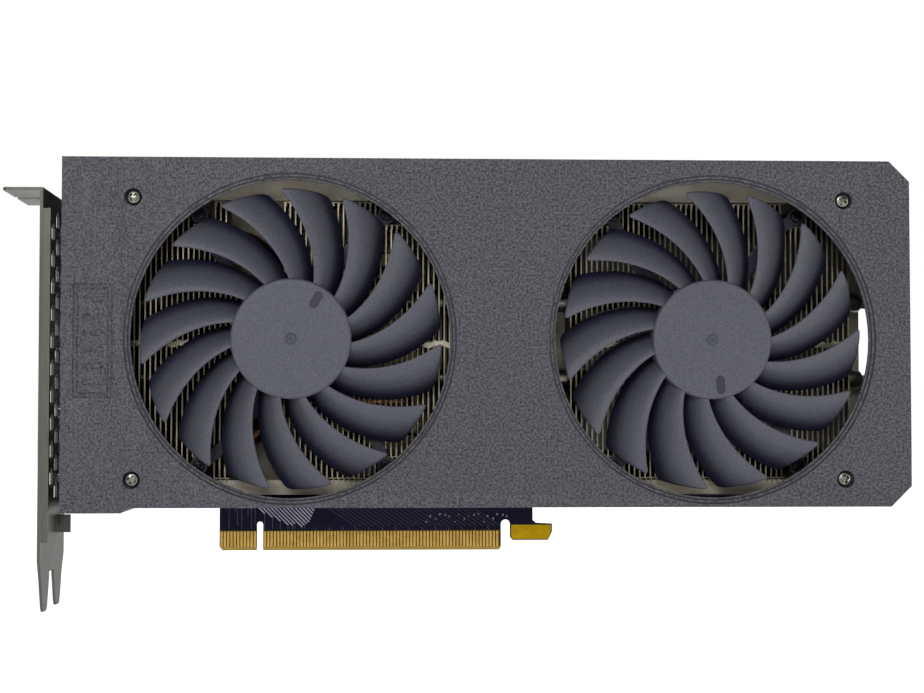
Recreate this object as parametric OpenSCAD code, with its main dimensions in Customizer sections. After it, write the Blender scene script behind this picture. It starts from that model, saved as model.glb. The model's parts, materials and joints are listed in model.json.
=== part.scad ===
// Two-slot graphics card with a twin-fan cooler.
// Frame: +X along the card away from the bracket, +Y from the fans towards the back of the board,
// +Z up from the slot. The origin is at the foot of the key notch, on the board's component face.

/* [Board] */
// Thickness of the circuit board
board_thickness = 1.6; // [1.2:0.1:2.2]
// Distance from the key notch to the free end of the board
board_reach = 92; // [91:1:110]
// Width of the key notch between the two finger groups
key_width = 1.9; // [1.8:0.05:2]
// Height of the gold fingers
finger_height = 5.7; // [4:0.1:6.5]
// Side of the square processor package
package_side = 40; // [30:1:44]

/* [Bracket] */
// Thickness of the bracket's sheet steel
bracket_thickness = 0.9; // [0.7:0.05:1.2]
// Distance from the bracket's inner face to the shroud
bracket_gap = 5.28; // [4:0.1:7]
// Distance across the flats of a bracket vent
vent_flats = 5.4; // [3:0.1:6.4]

/* [Shroud] */
// Length of the shroud
shroud_length = 241.9; // [225:0.1:300]
// Height of the shroud
shroud_height = 99.2; // [98:0.1:125]
// Distance from the board's component face to the shroud's face
shroud_depth = 36; // [34:0.1:56]
// Wall thickness of the shroud
shroud_wall = 2; // [1.4:0.1:2.6]
// Size of the chamfers at the free end
corner_chamfer = 5.9; // [2:0.1:9]

/* [Fans] */
// Diameter across the blade tips
fan_diameter = 86; // [64:0.5:87]
// Radial gap between the blade tips and the opening
tip_gap = 2.18; // [1:0.01:3]
// Diameter of the fan hub
hub_diameter = 34.28; // [34:0.1:40]
// Number of blades
blade_count = 15; // [7:1:15]
// Diameter of the fan shaft
shaft_diameter = 2; // [1.5:0.1:2.6]

/* [Heatsink] */
// Distance between fins
fin_pitch = 1.55; // [1.2:0.05:3]
// Thickness of a fin
fin_thickness = 0.4; // [0.2:0.05:0.6]
// Diameter of a heat pipe
pipe_diameter = 6; // [4:0.1:7.4]

/* [Hidden] */
$fn = 64;

slip = 0.05;          // radial clearance of a screw or a soldered pipe in its hole
running = 0.03;       // radial clearance of a shaft in its bearing
cut = 1;              // how far a cutter runs past the face that it opens
loose = 0.3;          // radial clearance of a hole that a screw only passes through

// Shroud
shroud_front = -shroud_depth;
shroud_foot = 14.4;
shroud_top = shroud_foot + shroud_height;
bracket_face = -59.05;
shroud_left = bracket_face + bracket_gap;
shroud_right = shroud_left + shroud_length;
shroud_back = -1;
lip_drop = 1.45;
lip_end = shroud_left + 17;
lip_slope = 2.5;
rim_step = 0.4;
screw_boss_r = 3.6;
shroud_screw_x = [shroud_left + 20, shroud_right - 19.1];
shroud_screw_z = [shroud_foot + 7.9, shroud_top - 11.4];
screw_seat = shroud_front + 2.6;
post_front = shroud_front + 12;
shroud_screw_r = 1;
shroud_head_r = 2.1;

// Fans
fan_z = (shroud_foot + shroud_top) / 2 - 1.73;
badge_x = [shroud_left + 3.4, shroud_left + 14.6];
badge_z = [fan_z - 16.9, fan_z + 15.4];
badge_ring_gap = 1.1;
badge_line = 0.5;
badge_depth = 0.4;
fan_x_left = shroud_left + 64.52;
fan_x_right = shroud_right - 57.07;
tip_r = fan_diameter / 2;
hub_r = hub_diameter / 2;
opening_r = tip_r + tip_gap;
shaft_r = shaft_diameter / 2;
ear_x = 27;
ear_z = 36.5;
ear_r = 2.6;
ear_reach = sqrt(ear_x * ear_x + ear_z * ear_z);
fan_screw_r = 0.95;
fan_post_r = 2;
fan_stud_r = 1.2;
bearing_r = shaft_r + 1.55;
bearing_seat_r = bearing_r + 0.95;
shaft_front = shroud_front + 1.9;
// Depths inside a fan, counted from the shroud's face
hub_top = 0.75;
hub_face = 1;
hub_skin = 1.6;
hub_wall = 1.54;
hub_depth = 11.6;
base_thickness = 1.8;
base_y = shroud_front + 12.6;
blade_front = 1.6;
blade_back = 10.2;
blade_thickness = 1;
blade_sweep = 1.2;     // degrees that the blade leans for each millimetre of radius
blade_taper = 0.19;    // degrees that the blade narrows for each millimetre of radius
tip_bow = 0.6;         // how far the tip falls back at its corners
blade_pitch = 360 / blade_count;
blade_root_r = hub_r - 0.7;
blade_rows = 8;
blade_columns = 6;

// Heatsink
fin_front = shroud_front + 15;
fin_back = -5.5;
fin_foot = shroud_foot + 7.8;
fin_top = shroud_top - 10.82;
pipe_r = pipe_diameter / 2;
pipe_y = fin_back - pipe_r;
pipe_mid_z = fan_z + 0.67;
long_pipe_offset = 11.55;
pipe_web = 1.5;        // least distance between two pipes
pipe_swage = 2.5;
bent_pipe_offset = long_pipe_offset + pipe_diameter + pipe_web;
bend_rise = 10.5;
bend_r = 10;
bend_start = 12;
bend_steps = 5;
turn_run = bend_r * sin(45);
turn_rise = bend_r * (1 - cos(45));
bend_end = bend_start - 2 * turn_run - (bend_rise - 2 * turn_rise);
pipe_sides = 20;
clip_z = [fan_z - 2.6, fan_z + 1];
clip_thickness = 0.5;
stack_left = [shroud_left + 15.3, 60];
stack_right = [91.6, shroud_right - 12.8];
long_pipe_x = [shroud_left + 18, shroud_right - 7.1];
bent_pipe_x = [shroud_left + 25, 46];
notch_x = [-9, 8];
bend_notch_x = [8, 16];
bend_cut = 18;         // height of the cut that lets a bent pipe cross the fins
frame_back = -2.2;
frame_thickness = 1.2;
frame_front = frame_back - frame_thickness;
frame_margin = 3.1;
frame_x = [shroud_left + 4.8, shroud_right - 6.5];
frame_z = [shroud_foot + frame_margin, shroud_top - frame_margin];
frame_lip = 1.2;
frame_post_r = 3.2;
frame_boss_r = 2.8;
tapped_front = frame_back - 0.9;
flange_front = fin_front + 1;
flange_gap = 0.5;      // between the ends of the fins and the flanges of the frame
post_gap = 0.6;        // between a fin and the side of a post
window_x = [stack_right[0] + 3.4, shroud_right - 10.5];
window_z = [fan_z - 32.3, fan_z + 32.2];
wing_x = shroud_right - shroud_wall - 0.6;
wing_z = [frame_z[0] + 5, frame_z[1] - 5];
wing_gap_half = long_pipe_offset - 1.4;

// Board
board_left = -57;
board_foot = shroud_foot - 0.9;
board_top = shroud_top - 2.47;
tongue_left = -12.1;
tongue_right = 72.6;
hook_gap = 2.8;
hook_left = tongue_right + hook_gap;
hook_right = 88.14;
hook_foot = 2.9;
hook_top = 7.78;
neck_right = 82.25;
key_top = 8.6;
slot_top = 9.07;
pin_pitch = 1;
pin_width = 0.7;
pin_first = 1.5;
pins_short = 11;
pins_long = 71;
plating = 0.1;
board_back = board_thickness;

// Processor and what stands round it
gpu_x = 21;
gpu_z = fan_z;
package_height = 1.4;
die_w = 24;
die_h = 17;
plate_half = 24;
plate_flange = 3;
chip_w = 12;
chip_l = 14;
chip_height = 1.1;
chip_row = 31;
chip_half_pitch = 9;
gpu_screw_half = 30;
gpu_screw_r = 1.2;
retainer_front = board_back + 0.2;
retainer_thickness = 0.8;
retainer_arm = 11;
washer_front = retainer_front + retainer_thickness;
washer_thickness = 0.6;
choke_side = 9;
choke_height = 4;
choke_pitch = 10.4;
choke_x = 73;
choke_count = 6;
choke_column = choke_pitch * choke_count;
choke_foot = gpu_z - (choke_column - choke_pitch) / 2;
choke_foot_gap = 3.2;
stage_gap = 1.5;
stage_length = 5;
stage_height = 0.9;
memory_choke_x = -34;
can_x = choke_x + 10.5;
small_chip_thickness = 0.7;
can_r = 3.1;
can_height = 5;

// Backplate
backplate_gap = 1;
backplate_front = board_back + backplate_gap;
backplate_thickness = 1.4;
backplate_back = backplate_front + backplate_thickness;
backplate_x = [board_left + 6.5, shroud_right - 7.1];
backplate_z = [shroud_foot + 1.6, shroud_top - 3.1];
plate_screw_r = 1.2;
plate_screw_on_board = [
  [board_left + 11, shroud_foot + 5.6], [board_left + 11, shroud_top - 8.6],
  [62, shroud_foot + 5.6], [62, shroud_top - 8.6]
];
plate_screw_past_board = [
  [board_reach + 8, shroud_foot + 6.1], [board_reach + 8, shroud_top - 8.1],
  [shroud_right - 10.1, shroud_foot + 6.1], [shroud_right - 10.1, shroud_top - 8.1]
];

// Bracket
bracket_far = 3.5;
slot_pitch = 20.32;
bracket_near = bracket_far - slot_pitch - 18.48;
bracket_top = 104.9;
bracket_split = -4.4;
bracket_foot = -15.12;
tab_reach = 11.4;
tongue_y = [-26.5, -26.5 + slot_pitch];
tongue_half = 6.2;
tip_half = 3.4;
tip_rise = 1.5;
tip_run = 1.2;
notch_width = 4.4;
notch_depth = 5.6;
notch_y = -15.9;
lip_width = 2.1;
lip_inset = 0.2;
lip_z = [4.7, 99];
lug_y = -9;
lug_z = [6.1, 11.4];
lug_length = 4;
vent_pitch = 7.93;
vent_rows = 11;
vent_columns = [-25.7, -18.45, -11.2];
vent_foot = 14.2;
tab_z = [[14.8, 20.6], [97.6, 103.4]];
tab_length = 8;
bracket_screw_x = bracket_face + 4.6;
bracket_screw_r = 1.2;

// Sockets
port_pitch = 18.7;
port_foot = 31.5;
narrow_place = 1;
port_back = -0.9;
wide_w = 16.9;
wide_h = 6.6;
narrow_w = 15;
narrow_h = 6.2;
port_skin = 0.4;
port_depth = 16;
port_proud = 0.5;
port_outer = bracket_face - bracket_thickness - port_proud;
port_fit = 0.25;
socket_w = 18.6;
socket_y = 10.4;
socket_z = 13.6;
socket_x = board_reach - 14;
socket_top = shroud_top - 0.6;
socket_low_x = socket_x - socket_w / 2;
socket_foot = socket_top - socket_z;
header_w = 9.6;
header_h = 4.6;
header_depth = 4.6;
header_wall = 0.6;
header_pitch = 2;
chamber = 3.6;
chamber_pitch = 4.2;
chamber_depth = 10.5;

// ---------- helpers ----------

// An outline in X and Z, made solid from y_front back by depth
module plate(y_front, depth) {
  translate([0, y_front + depth, 0]) rotate([90, 0, 0]) linear_extrude(depth) children();
}

// An outline in Y and Z, made solid from x by thickness
module side_plate(x, thickness) {
  translate([x, 0, 0]) rotate([90, 0, 90]) linear_extrude(thickness) children();
}

// A round bar along Y, from y_front back
module bar(x, y_front, z, r, length) {
  translate([x, y_front, z]) rotate([-90, 0, 0]) cylinder(r = r, h = length);
}

// A box from its lowest to its highest corner
module block(low, high) {
  translate(low) cube(high - low);
}

// A pan-head screw with a cross recess. It seats at seat, and its shank runs towards back (1)
// or towards the front (-1)
module screw(x, seat, z, back, shank_r, shank_length, head_r, head_height) {
  recess = head_height * 0.55;
  slot_w = head_r * 0.3;
  slot_l = head_r * 1.2;
  translate([x, seat, z]) rotate([-90 * back, 0, 0]) {
    cylinder(r = shank_r, h = shank_length, $fn = 32);
    difference() {
      translate([0, 0, -head_height]) {
        cylinder(r1 = head_r * 0.86, r2 = head_r, h = head_height * 0.3, $fn = 32);
        translate([0, 0, head_height * 0.3]) cylinder(r = head_r, h = head_height * 0.7, $fn = 32);
      }
      for (turn = [0, 90])
        rotate([0, 0, turn]) translate([-slot_l / 2, -slot_w / 2, -head_height - cut])
          cube([slot_l, slot_w, recess + cut]);
    }
  }
}

// Both ends of a range, as corner points in X and Z
function corners(xs, zs) = [for (x = xs) for (z = zs) [x, z]];

// ---------- bracket ----------

// Corners of the tongue round the centre line y, from its near edge to its far edge
function tongue(y) = [
  [y - tongue_half, bracket_split - tip_rise], [y - tip_half, bracket_foot + tip_rise],
  [y - tip_half + tip_run, bracket_foot], [y + tip_half - tip_run, bracket_foot],
  [y + tip_half, bracket_foot + tip_rise], [y + tongue_half, bracket_split - tip_rise]
];

module bracket_outline() {
  shoulder = 4;
  difference() {
    polygon(concat(
      [[bracket_near, bracket_top], [bracket_near, bracket_split + shoulder]],
      tongue(tongue_y[0]),
      [[tongue_y[0] + tongue_half, bracket_split], [tongue_y[1] - tongue_half, bracket_split]],
      tongue(tongue_y[1]),
      [[bracket_far, bracket_split + shoulder], [bracket_far, bracket_top]]
    ));
    for (column = [0:len(vent_columns) - 1])
      for (row = [0:vent_rows - 1 - column % 2])
        translate([vent_columns[column], vent_foot + vent_pitch * (row + (column % 2) / 2 + 0.5)])
          rotate(30) circle(r = vent_flats / sqrt(3), $fn = 6);
    for (place = [0:3]) port_outline(place, port_fit);
  }
}

// The tab that the chassis screws hold, with one open notch for each slot
module tab_outline() {
  outer = bracket_face - tab_reach;
  difference() {
    polygon([
      [outer + 1, bracket_near], [bracket_face, bracket_near], [bracket_face, bracket_far],
      [outer + 1, bracket_far], [outer, bracket_far - 1], [outer, bracket_near + 1]
    ]);
    for (y = [notch_y, notch_y + slot_pitch]) {
      translate([outer - cut, y - notch_width / 2]) square([notch_depth + cut, notch_width]);
      translate([outer + notch_depth, y]) circle(r = notch_width / 2);
    }
  }
}

module bracket() color([0.50, 0.51, 0.50]) {
  difference() {
    union() {
      side_plate(bracket_face - bracket_thickness, bracket_thickness) bracket_outline();
      translate([0, 0, bracket_top - bracket_thickness]) linear_extrude(bracket_thickness) tab_outline();
      block([bracket_face - cut / 2, bracket_near + lip_inset, lip_z[0]],
            [bracket_face + lip_width, bracket_near + lip_inset + bracket_thickness, lip_z[1]]);
      for (z = tab_z)
        block([bracket_face - cut / 2, -bracket_thickness, z[0]], [bracket_face + tab_length, 0, z[1]]);
      block([bracket_face - cut / 2, lug_y, lug_z[0]],
            [bracket_face + lug_length, lug_y + bracket_thickness, lug_z[1]]);
    }
    for (z = tab_z)
      bar(bracket_screw_x, -bracket_thickness - cut, (z[0] + z[1]) / 2, bracket_screw_r + slip,
          bracket_thickness + 2 * cut);
  }
}

module bracket_screws() color([0.72, 0.72, 0.70])
  for (z = tab_z)
    screw(bracket_screw_x, board_back, (z[0] + z[1]) / 2, -1, bracket_screw_r,
          board_thickness + bracket_thickness + 0.7, 2.3, 1.3);

// ---------- board ----------

module board_outline() {
  key_r = key_width / 2;
  gap_r = hook_gap / 2;
  difference() {
    union() {
      translate([board_left, board_foot]) square([board_reach - board_left, board_top - board_foot]);
      polygon([
        [tongue_left, 1.1], [tongue_left + 0.9, 0], [tongue_right - 0.6, 0], [tongue_right, 0.8],
        [tongue_right, hook_top], [hook_left, hook_top], [hook_left, hook_foot + 0.8],
        [hook_left + 0.8, hook_foot], [hook_right - 1.2, hook_foot], [hook_right, hook_foot + 2.5],
        [hook_right, hook_top], [neck_right + 1, hook_top + 0.25], [neck_right, hook_top + 1.2],
        [neck_right, board_foot + cut], [tongue_left, board_foot + cut]
      ]);
    }
    translate([-key_r, -cut]) square([key_width, key_top - key_r + cut]);
    translate([0, key_top - key_r]) circle(r = key_r);
    translate([tongue_right, -cut]) square([hook_gap, slot_top - gap_r + cut]);
    translate([tongue_right + gap_r, slot_top - gap_r]) circle(r = gap_r);
    for (z = tab_z)
      translate([bracket_screw_x, (z[0] + z[1]) / 2]) circle(r = bracket_screw_r + slip);
    for (p = plate_screw_on_board) translate(p) circle(r = plate_screw_r + slip);
    for (p = gpu_screw_places()) translate(p) circle(r = gpu_screw_r + loose);
  }
}

module circuit_board() color([0.10, 0.10, 0.16]) plate(0, board_thickness) board_outline();

// Gold contacts on both faces of the edge connector
module edge_fingers() color([0.75, 0.60, 0.25])
  for (side = [-plating, board_back])
    for (pin = [-pins_short:pins_long - 1]) {
      x = pin < 0 ? -pin_first - pin_pitch * (-pin - 1) : pin_first + pin_pitch * pin;
      block([x - pin_width / 2, side, 1.1], [x + pin_width / 2, side + plating, finger_height]);
    }

module hook_plating() color([0.66, 0.53, 0.05])
  for (side = [-plating, board_back])
    plate(side, plating)
      polygon([
        [hook_left + 0.3, hook_foot + 0.9], [hook_left + 0.9, hook_foot + 0.3],
        [hook_right - 1.3, hook_foot + 0.3], [hook_right - 0.3, hook_foot + 2.5],
        [hook_right - 0.3, hook_top - 0.3], [hook_left + 0.3, hook_top - 0.3]
      ]);

module gpu_package() color([0.12, 0.22, 0.16])
  block([gpu_x - package_side / 2, -package_height, gpu_z - package_side / 2],
        [gpu_x + package_side / 2, 0, gpu_z + package_side / 2]);

module gpu_die() color([0.45, 0.47, 0.52])
  block([gpu_x - die_w / 2, frame_back, gpu_z - die_h / 2],
        [gpu_x + die_w / 2, -package_height, gpu_z + die_h / 2]);

// Lowest and highest corners, in X and Z, of the memory chips round the processor
function chip_places() = [
  for (s = [-1, 1]) for (t = [-1, 1])
    [gpu_x + s * chip_row - chip_w / 2, gpu_z + t * chip_half_pitch - chip_l / 2, chip_w, chip_l],
  for (s = [-1, 1]) for (t = [-1, 1])
    [gpu_x + t * chip_half_pitch - chip_l / 2, gpu_z + s * chip_row - chip_w / 2, chip_l, chip_w]
];

module memory_chips() color([0.09, 0.09, 0.10])
  for (c = chip_places())
    block([c[0], -chip_height, c[1]], [c[0] + c[2], 0, c[1] + c[3]]);

module thermal_pads() color([0.62, 0.66, 0.72])
  for (c = chip_places())
    block([c[0] + 0.5, frame_back, c[1] + 0.5], [c[0] + c[2] - 0.5, -chip_height, c[1] + c[3] - 0.5]);

// Centres of the chokes: a column beside the fins and a pair for the memory
function choke_places() = [
  for (i = [0:choke_count - 1]) [choke_x, choke_foot + choke_pitch * i],
  for (i = [0, 1]) [memory_choke_x, gpu_z - choke_pitch / 2 + choke_pitch * i]
];

module power_chokes() color([0.20, 0.20, 0.21])
  for (c = choke_places())
    difference() {
      block([c[0] - choke_side / 2, -choke_height, c[1] - choke_side / 2],
            [c[0] + choke_side / 2, 0, c[1] + choke_side / 2]);
      for (s = [-1, 1])
        block([c[0] + s * choke_side / 2 - 0.5, -choke_height - cut, c[1] - choke_foot_gap / 2],
              [c[0] + s * choke_side / 2 + 0.5, cut, c[1] + choke_foot_gap / 2]);
    }

module power_stages() color([0.08, 0.08, 0.09])
  for (c = choke_places()) {
    right = c[0] - choke_side / 2 - stage_gap;
    block([right - stage_length, -stage_height, c[1] - stage_length / 2],
          [right, 0, c[1] + stage_length / 2]);
  }

module capacitors() color([0.75, 0.75, 0.77]) {
  for (i = [0:choke_count - 1])
    bar(can_x, -can_height, choke_foot + choke_pitch * i, can_r, can_height);
  for (i = [-1:1]) bar(memory_choke_x + 9.5, -can_height, gpu_z + i * 8, can_r, can_height);
}

// A chip by its middle in X and Z and its size, with its lower face at y
module small_chip(x, z, width, height, y) {
  block([x - width / 2, y, z - height / 2], [x + width / 2, y + small_chip_thickness, z + height / 2]);
}

// Controllers and memories on both faces of the board
module small_chips() color([0.10, 0.10, 0.11]) {
  small_chip(-32.5, gpu_z - 22.5, 7, 7, -small_chip_thickness);
  small_chip(-33.5, gpu_z + 23, 5, 6, -small_chip_thickness);
  small_chip(55, shroud_foot + 12, 6, 4, -small_chip_thickness);
  small_chip(80, gpu_z - 3, 6, 6, board_back);
  small_chip(-27, gpu_z + 12.5, 6, 5, board_back);
}

// ---------- back of the card ----------

function gpu_screw_places() =
  corners([gpu_x - gpu_screw_half, gpu_x + gpu_screw_half],
          [gpu_z - gpu_screw_half, gpu_z + gpu_screw_half]);

// Sprung cross that pulls the cooler down over the processor
module retention_plate() color([0.70, 0.71, 0.72])
  difference() {
    plate(retainer_front, retainer_thickness) {
      for (turn = [45, 135])
        translate([gpu_x, gpu_z]) rotate(turn)
          square([2 * sqrt(2) * gpu_screw_half, retainer_arm], center = true);
      for (p = gpu_screw_places()) translate(p) circle(r = retainer_arm / 2 + 0.8);
      translate([gpu_x, gpu_z]) circle(r = 15);
    }
    bar(gpu_x, retainer_front - cut, gpu_z, 8, retainer_thickness + 2 * cut);
    for (p = gpu_screw_places())
      bar(p[0], retainer_front - cut, p[1], gpu_screw_r + loose, retainer_thickness + 2 * cut);
  }

module spring_washers() color([0.55, 0.56, 0.58])
  for (p = gpu_screw_places())
    difference() {
      bar(p[0], washer_front, p[1], 2.5, washer_thickness);
      bar(p[0], washer_front - cut, p[1], gpu_screw_r + 0.2, washer_thickness + 2 * cut);
    }

module gpu_screws() color([0.72, 0.72, 0.70])
  for (p = gpu_screw_places())
    screw(p[0], washer_front + washer_thickness, p[1], -1, gpu_screw_r,
          washer_front + washer_thickness - frame_front - 0.4, 2.4, 0.9);

module backplate() color([0.13, 0.13, 0.15]) {
  chamfer = 4;
  opening_half = gpu_screw_half + 8;
  difference() {
    plate(backplate_front, backplate_thickness)
      difference() {
        polygon([
          [backplate_x[0], backplate_z[0]], [backplate_x[1] - chamfer, backplate_z[0]],
          [backplate_x[1], backplate_z[0] + chamfer], [backplate_x[1], backplate_z[1] - chamfer],
          [backplate_x[1] - chamfer, backplate_z[1]], [backplate_x[0], backplate_z[1]]
        ]);
        translate([gpu_x - opening_half, gpu_z - opening_half]) square(2 * opening_half);
        window_outline();
      }
    for (p = concat(plate_screw_on_board, plate_screw_past_board))
      bar(p[0], backplate_front - cut, p[1], plate_screw_r + slip, backplate_thickness + 2 * cut);
  }
}

module backplate_screws() color([0.72, 0.72, 0.70])
  for (p = concat(plate_screw_on_board, plate_screw_past_board))
    screw(p[0], backplate_back, p[1], -1, plate_screw_r, backplate_back - frame_back + 0.6, 2.2, 0.9);

module backplate_spacers() color([0.85, 0.85, 0.82])
  for (p = plate_screw_on_board)
    difference() {
      bar(p[0], board_back, p[1], frame_boss_r, backplate_gap);
      bar(p[0], board_back - cut, p[1], plate_screw_r + loose, backplate_gap + 2 * cut);
    }

// ---------- cooler ----------

// Square hole in the frame with a clearance round a box given as centre and half sides
module frame_hole(x, z, half_x, half_z) {
  block([x - half_x, frame_front - cut, z - half_z], [x + half_x, frame_back + cut, z + half_z]);
}

// Opening behind the right fin stack, through which the air leaves at the back of the card
module window_outline() {
  translate([window_x[0], window_z[0]]) square([window_x[1] - window_x[0], window_z[1] - window_z[0]]);
}

module heatsink_frame() color([0.62, 0.61, 0.57])
  difference() {
    union() {
      block([frame_x[0], frame_front, frame_z[0]], [frame_x[1], frame_back, frame_z[1]]);
      for (z = [[wing_z[0], pipe_mid_z - wing_gap_half], [pipe_mid_z + wing_gap_half, wing_z[1]]])
        block([frame_x[1] - cut, frame_front, z[0]], [wing_x, frame_back, z[1]]);
      for (z = [frame_z[0], frame_z[1] - frame_lip])
        block([frame_x[0], flange_front, z], [frame_x[1], frame_front, z + frame_lip]);
      for (z = [[frame_z[0], fin_foot - flange_gap], [fin_top + flange_gap, frame_z[1]]])
        block([frame_x[0], flange_front, z[0]], [frame_x[1], flange_front + frame_lip, z[1]]);
      for (p = corners(shroud_screw_x, shroud_screw_z))
        bar(p[0], post_front, p[1], frame_post_r, frame_front - post_front);
      for (p = plate_screw_on_board) bar(p[0], frame_back, p[1], frame_boss_r, -frame_back);
      for (p = plate_screw_past_board)
        bar(p[0], frame_back, p[1], frame_boss_r, backplate_front - frame_back);
      for (p = gpu_screw_places()) bar(p[0], frame_back, p[1], frame_boss_r, -frame_back - 0.3);
    }
    frame_hole(gpu_x, gpu_z, plate_half + 0.4, plate_half + 0.4);
    frame_hole(choke_x - 2.4, gpu_z, 10.6, choke_column / 2 + 0.5);
    frame_hole(memory_choke_x + 2.5, gpu_z, 12, choke_pitch + 1.5);
    frame_hole(can_x, gpu_z, can_r + 1, choke_column / 2 + 0.5);
    plate(frame_front - cut, frame_thickness + 2 * cut) window_outline();
    block([socket_low_x - 1.5, fin_front, socket_foot - 1.5],
          [socket_low_x + socket_w + 1.5, 0, shroud_top]);
    block([frame_x[0] - cut, frame_front - cut, port_foot - wide_w / 2 - 1],
          [port_outer + port_depth + 1, frame_back + cut, port_foot + 3 * port_pitch + wide_w / 2 + 1]);
    for (p = header_places()) frame_hole(p[0], p[1], header_w / 2 + 1, header_h / 2 + 1);
    for (p = corners(shroud_screw_x, shroud_screw_z))
      bar(p[0], post_front - cut, p[1], shroud_screw_r + slip, 10 + cut);
    for (p = fan_posts())
      bar(p[0], frame_front - cut, p[1], fan_stud_r + slip, frame_thickness + 2 * cut);
    for (p = concat(plate_screw_on_board, gpu_screw_places()))
      bar(p[0], tapped_front, p[1], plate_screw_r + slip, -tapped_front + cut);
    for (p = plate_screw_past_board)
      bar(p[0], tapped_front, p[1], plate_screw_r + slip, backplate_front - tapped_front + cut);
  }

// Copper block that touches the processor, with a flange in front of the frame
module cold_plate() color([0.74, 0.72, 0.66]) {
  block([gpu_x - plate_half, frame_front, gpu_z - plate_half],
        [gpu_x + plate_half, frame_back, gpu_z + plate_half]);
  block([gpu_x - plate_half - plate_flange, fin_back, gpu_z - plate_half - plate_flange],
        [gpu_x + plate_half + plate_flange, frame_front, gpu_z + plate_half + plate_flange]);
}

// Posts that stand between the fins, as X, Z and half width
function obstacles() = concat(
  [for (p = fan_posts()) [p[0], p[1], fan_post_r + post_gap]],
  [for (p = corners(shroud_screw_x, shroud_screw_z)) [p[0], p[1], frame_post_r + post_gap]]
);

// Lower and upper end of the fin at x, which stops short of posts and of the bent pipes
function in_notch(x) = x > notch_x[0] && x < notch_x[1];
function fin_low(x) = max(concat(
  [fin_foot, in_notch(x) ? pipe_mid_z - bent_pipe_offset + pipe_r + 1 : fin_foot],
  [for (o = obstacles()) abs(x - o[0]) < o[2] + fin_thickness && o[1] < fan_z ? o[1] + o[2] : fin_foot]
));
function fin_high(x) = min(concat(
  [fin_top, in_notch(x) ? pipe_mid_z + bent_pipe_offset - pipe_r - 1 : fin_top],
  [for (o = obstacles()) abs(x - o[0]) < o[2] + fin_thickness && o[1] > fan_z ? o[1] - o[2] : fin_top]
));

// Heights of the pipes that pass straight through the fin at x
function pipes_at(x) = concat(
  [for (s = [-1, 1]) pipe_mid_z + s * long_pipe_offset],
  x > bend_notch_x[1] && x < bent_pipe_x[1] + 3
    ? [for (s = [-1, 1]) pipe_mid_z + s * bent_pipe_offset] : [],
  x < notch_x[0] && x > bent_pipe_x[0] - 3
    ? [for (s = [-1, 1]) pipe_mid_z + s * (bent_pipe_offset + bend_rise)] : []
);

module fin(x) {
  low = fin_low(x);
  high = fin_high(x);
  side_plate(x, fin_thickness)
    difference() {
      translate([fin_front, low]) square([fin_back - fin_front, high - low]);
      for (z = pipes_at(x)) translate([pipe_y, z]) circle(r = pipe_r + slip, $fn = 32);
      if (x >= bend_notch_x[0] && x <= bend_notch_x[1])
        for (s = [-1, 1])
          translate([pipe_y - pipe_r - 0.5, pipe_mid_z + s * (bent_pipe_offset + bend_rise / 2)])
            translate([0, -bend_cut / 2]) square([pipe_diameter + 0.5 + cut, bend_cut]);
    }
}

// Number of gaps between the fins of a stack that fills range
function fin_gaps(range) = floor((range[1] - range[0] - fin_thickness) / fin_pitch);

module fin_stack(range) {
  for (i = [0:fin_gaps(range)]) fin(range[0] + i * fin_pitch);
}

module fin_stack_left() color([0.70, 0.69, 0.65]) fin_stack(stack_left);
module fin_stack_right() color([0.70, 0.69, 0.65]) fin_stack(stack_right);

// Folded tabs that lock each fin to the next one, along the front of the stack
module fin_clips(range) {
  for (i = [0:fin_gaps(range) - 1])
    block([range[0] + i * fin_pitch + fin_thickness, fin_front, clip_z[0]],
          [range[0] + (i + 1) * fin_pitch - slip, fin_front + clip_thickness, clip_z[1]]);
}

module fin_clips_left() color([0.80, 0.79, 0.75]) fin_clips(stack_left);
module fin_clips_right() color([0.80, 0.79, 0.75]) fin_clips(stack_right);

// A straight pipe along X with swaged ends
module straight_pipe(x_low, x_high, z) {
  end_r = pipe_r * 0.45;
  length = x_high - x_low;
  translate([x_low, pipe_y, z]) rotate([0, 90, 0]) {
    cylinder(r1 = end_r, r2 = pipe_r, h = pipe_swage);
    translate([0, 0, pipe_swage]) cylinder(r = pipe_r, h = length - 2 * pipe_swage);
    translate([0, 0, length - pipe_swage]) cylinder(r1 = pipe_r, r2 = end_r, h = pipe_swage);
  }
}

module heatpipe_upper() color([0.72, 0.55, 0.42])
  straight_pipe(long_pipe_x[0], long_pipe_x[1], pipe_mid_z + long_pipe_offset);

module heatpipe_lower() color([0.72, 0.55, 0.42])
  straight_pipe(long_pipe_x[0], long_pipe_x[1], pipe_mid_z - long_pipe_offset);

// Centre line of a bent pipe as X, Z and heading: an inner run on Z = 0, two eighth turns that step
// outwards by bend_rise, and an outer run
function turn_points(x, z, from, to, lead) = [
  for (k = [0:bend_steps]) let (a = from + (to - from) * k / bend_steps)
    [x + bend_r * cos(a), z + bend_r * sin(a), a + lead]
];
bent_line = concat(
  [[bent_pipe_x[1], 0, 180]],
  turn_points(bend_start, bend_r, -90, -135, 270),
  turn_points(bend_end, bend_rise - bend_r, 45, 90, 90),
  [[bent_pipe_x[0], bend_rise, 180]]
);

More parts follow.
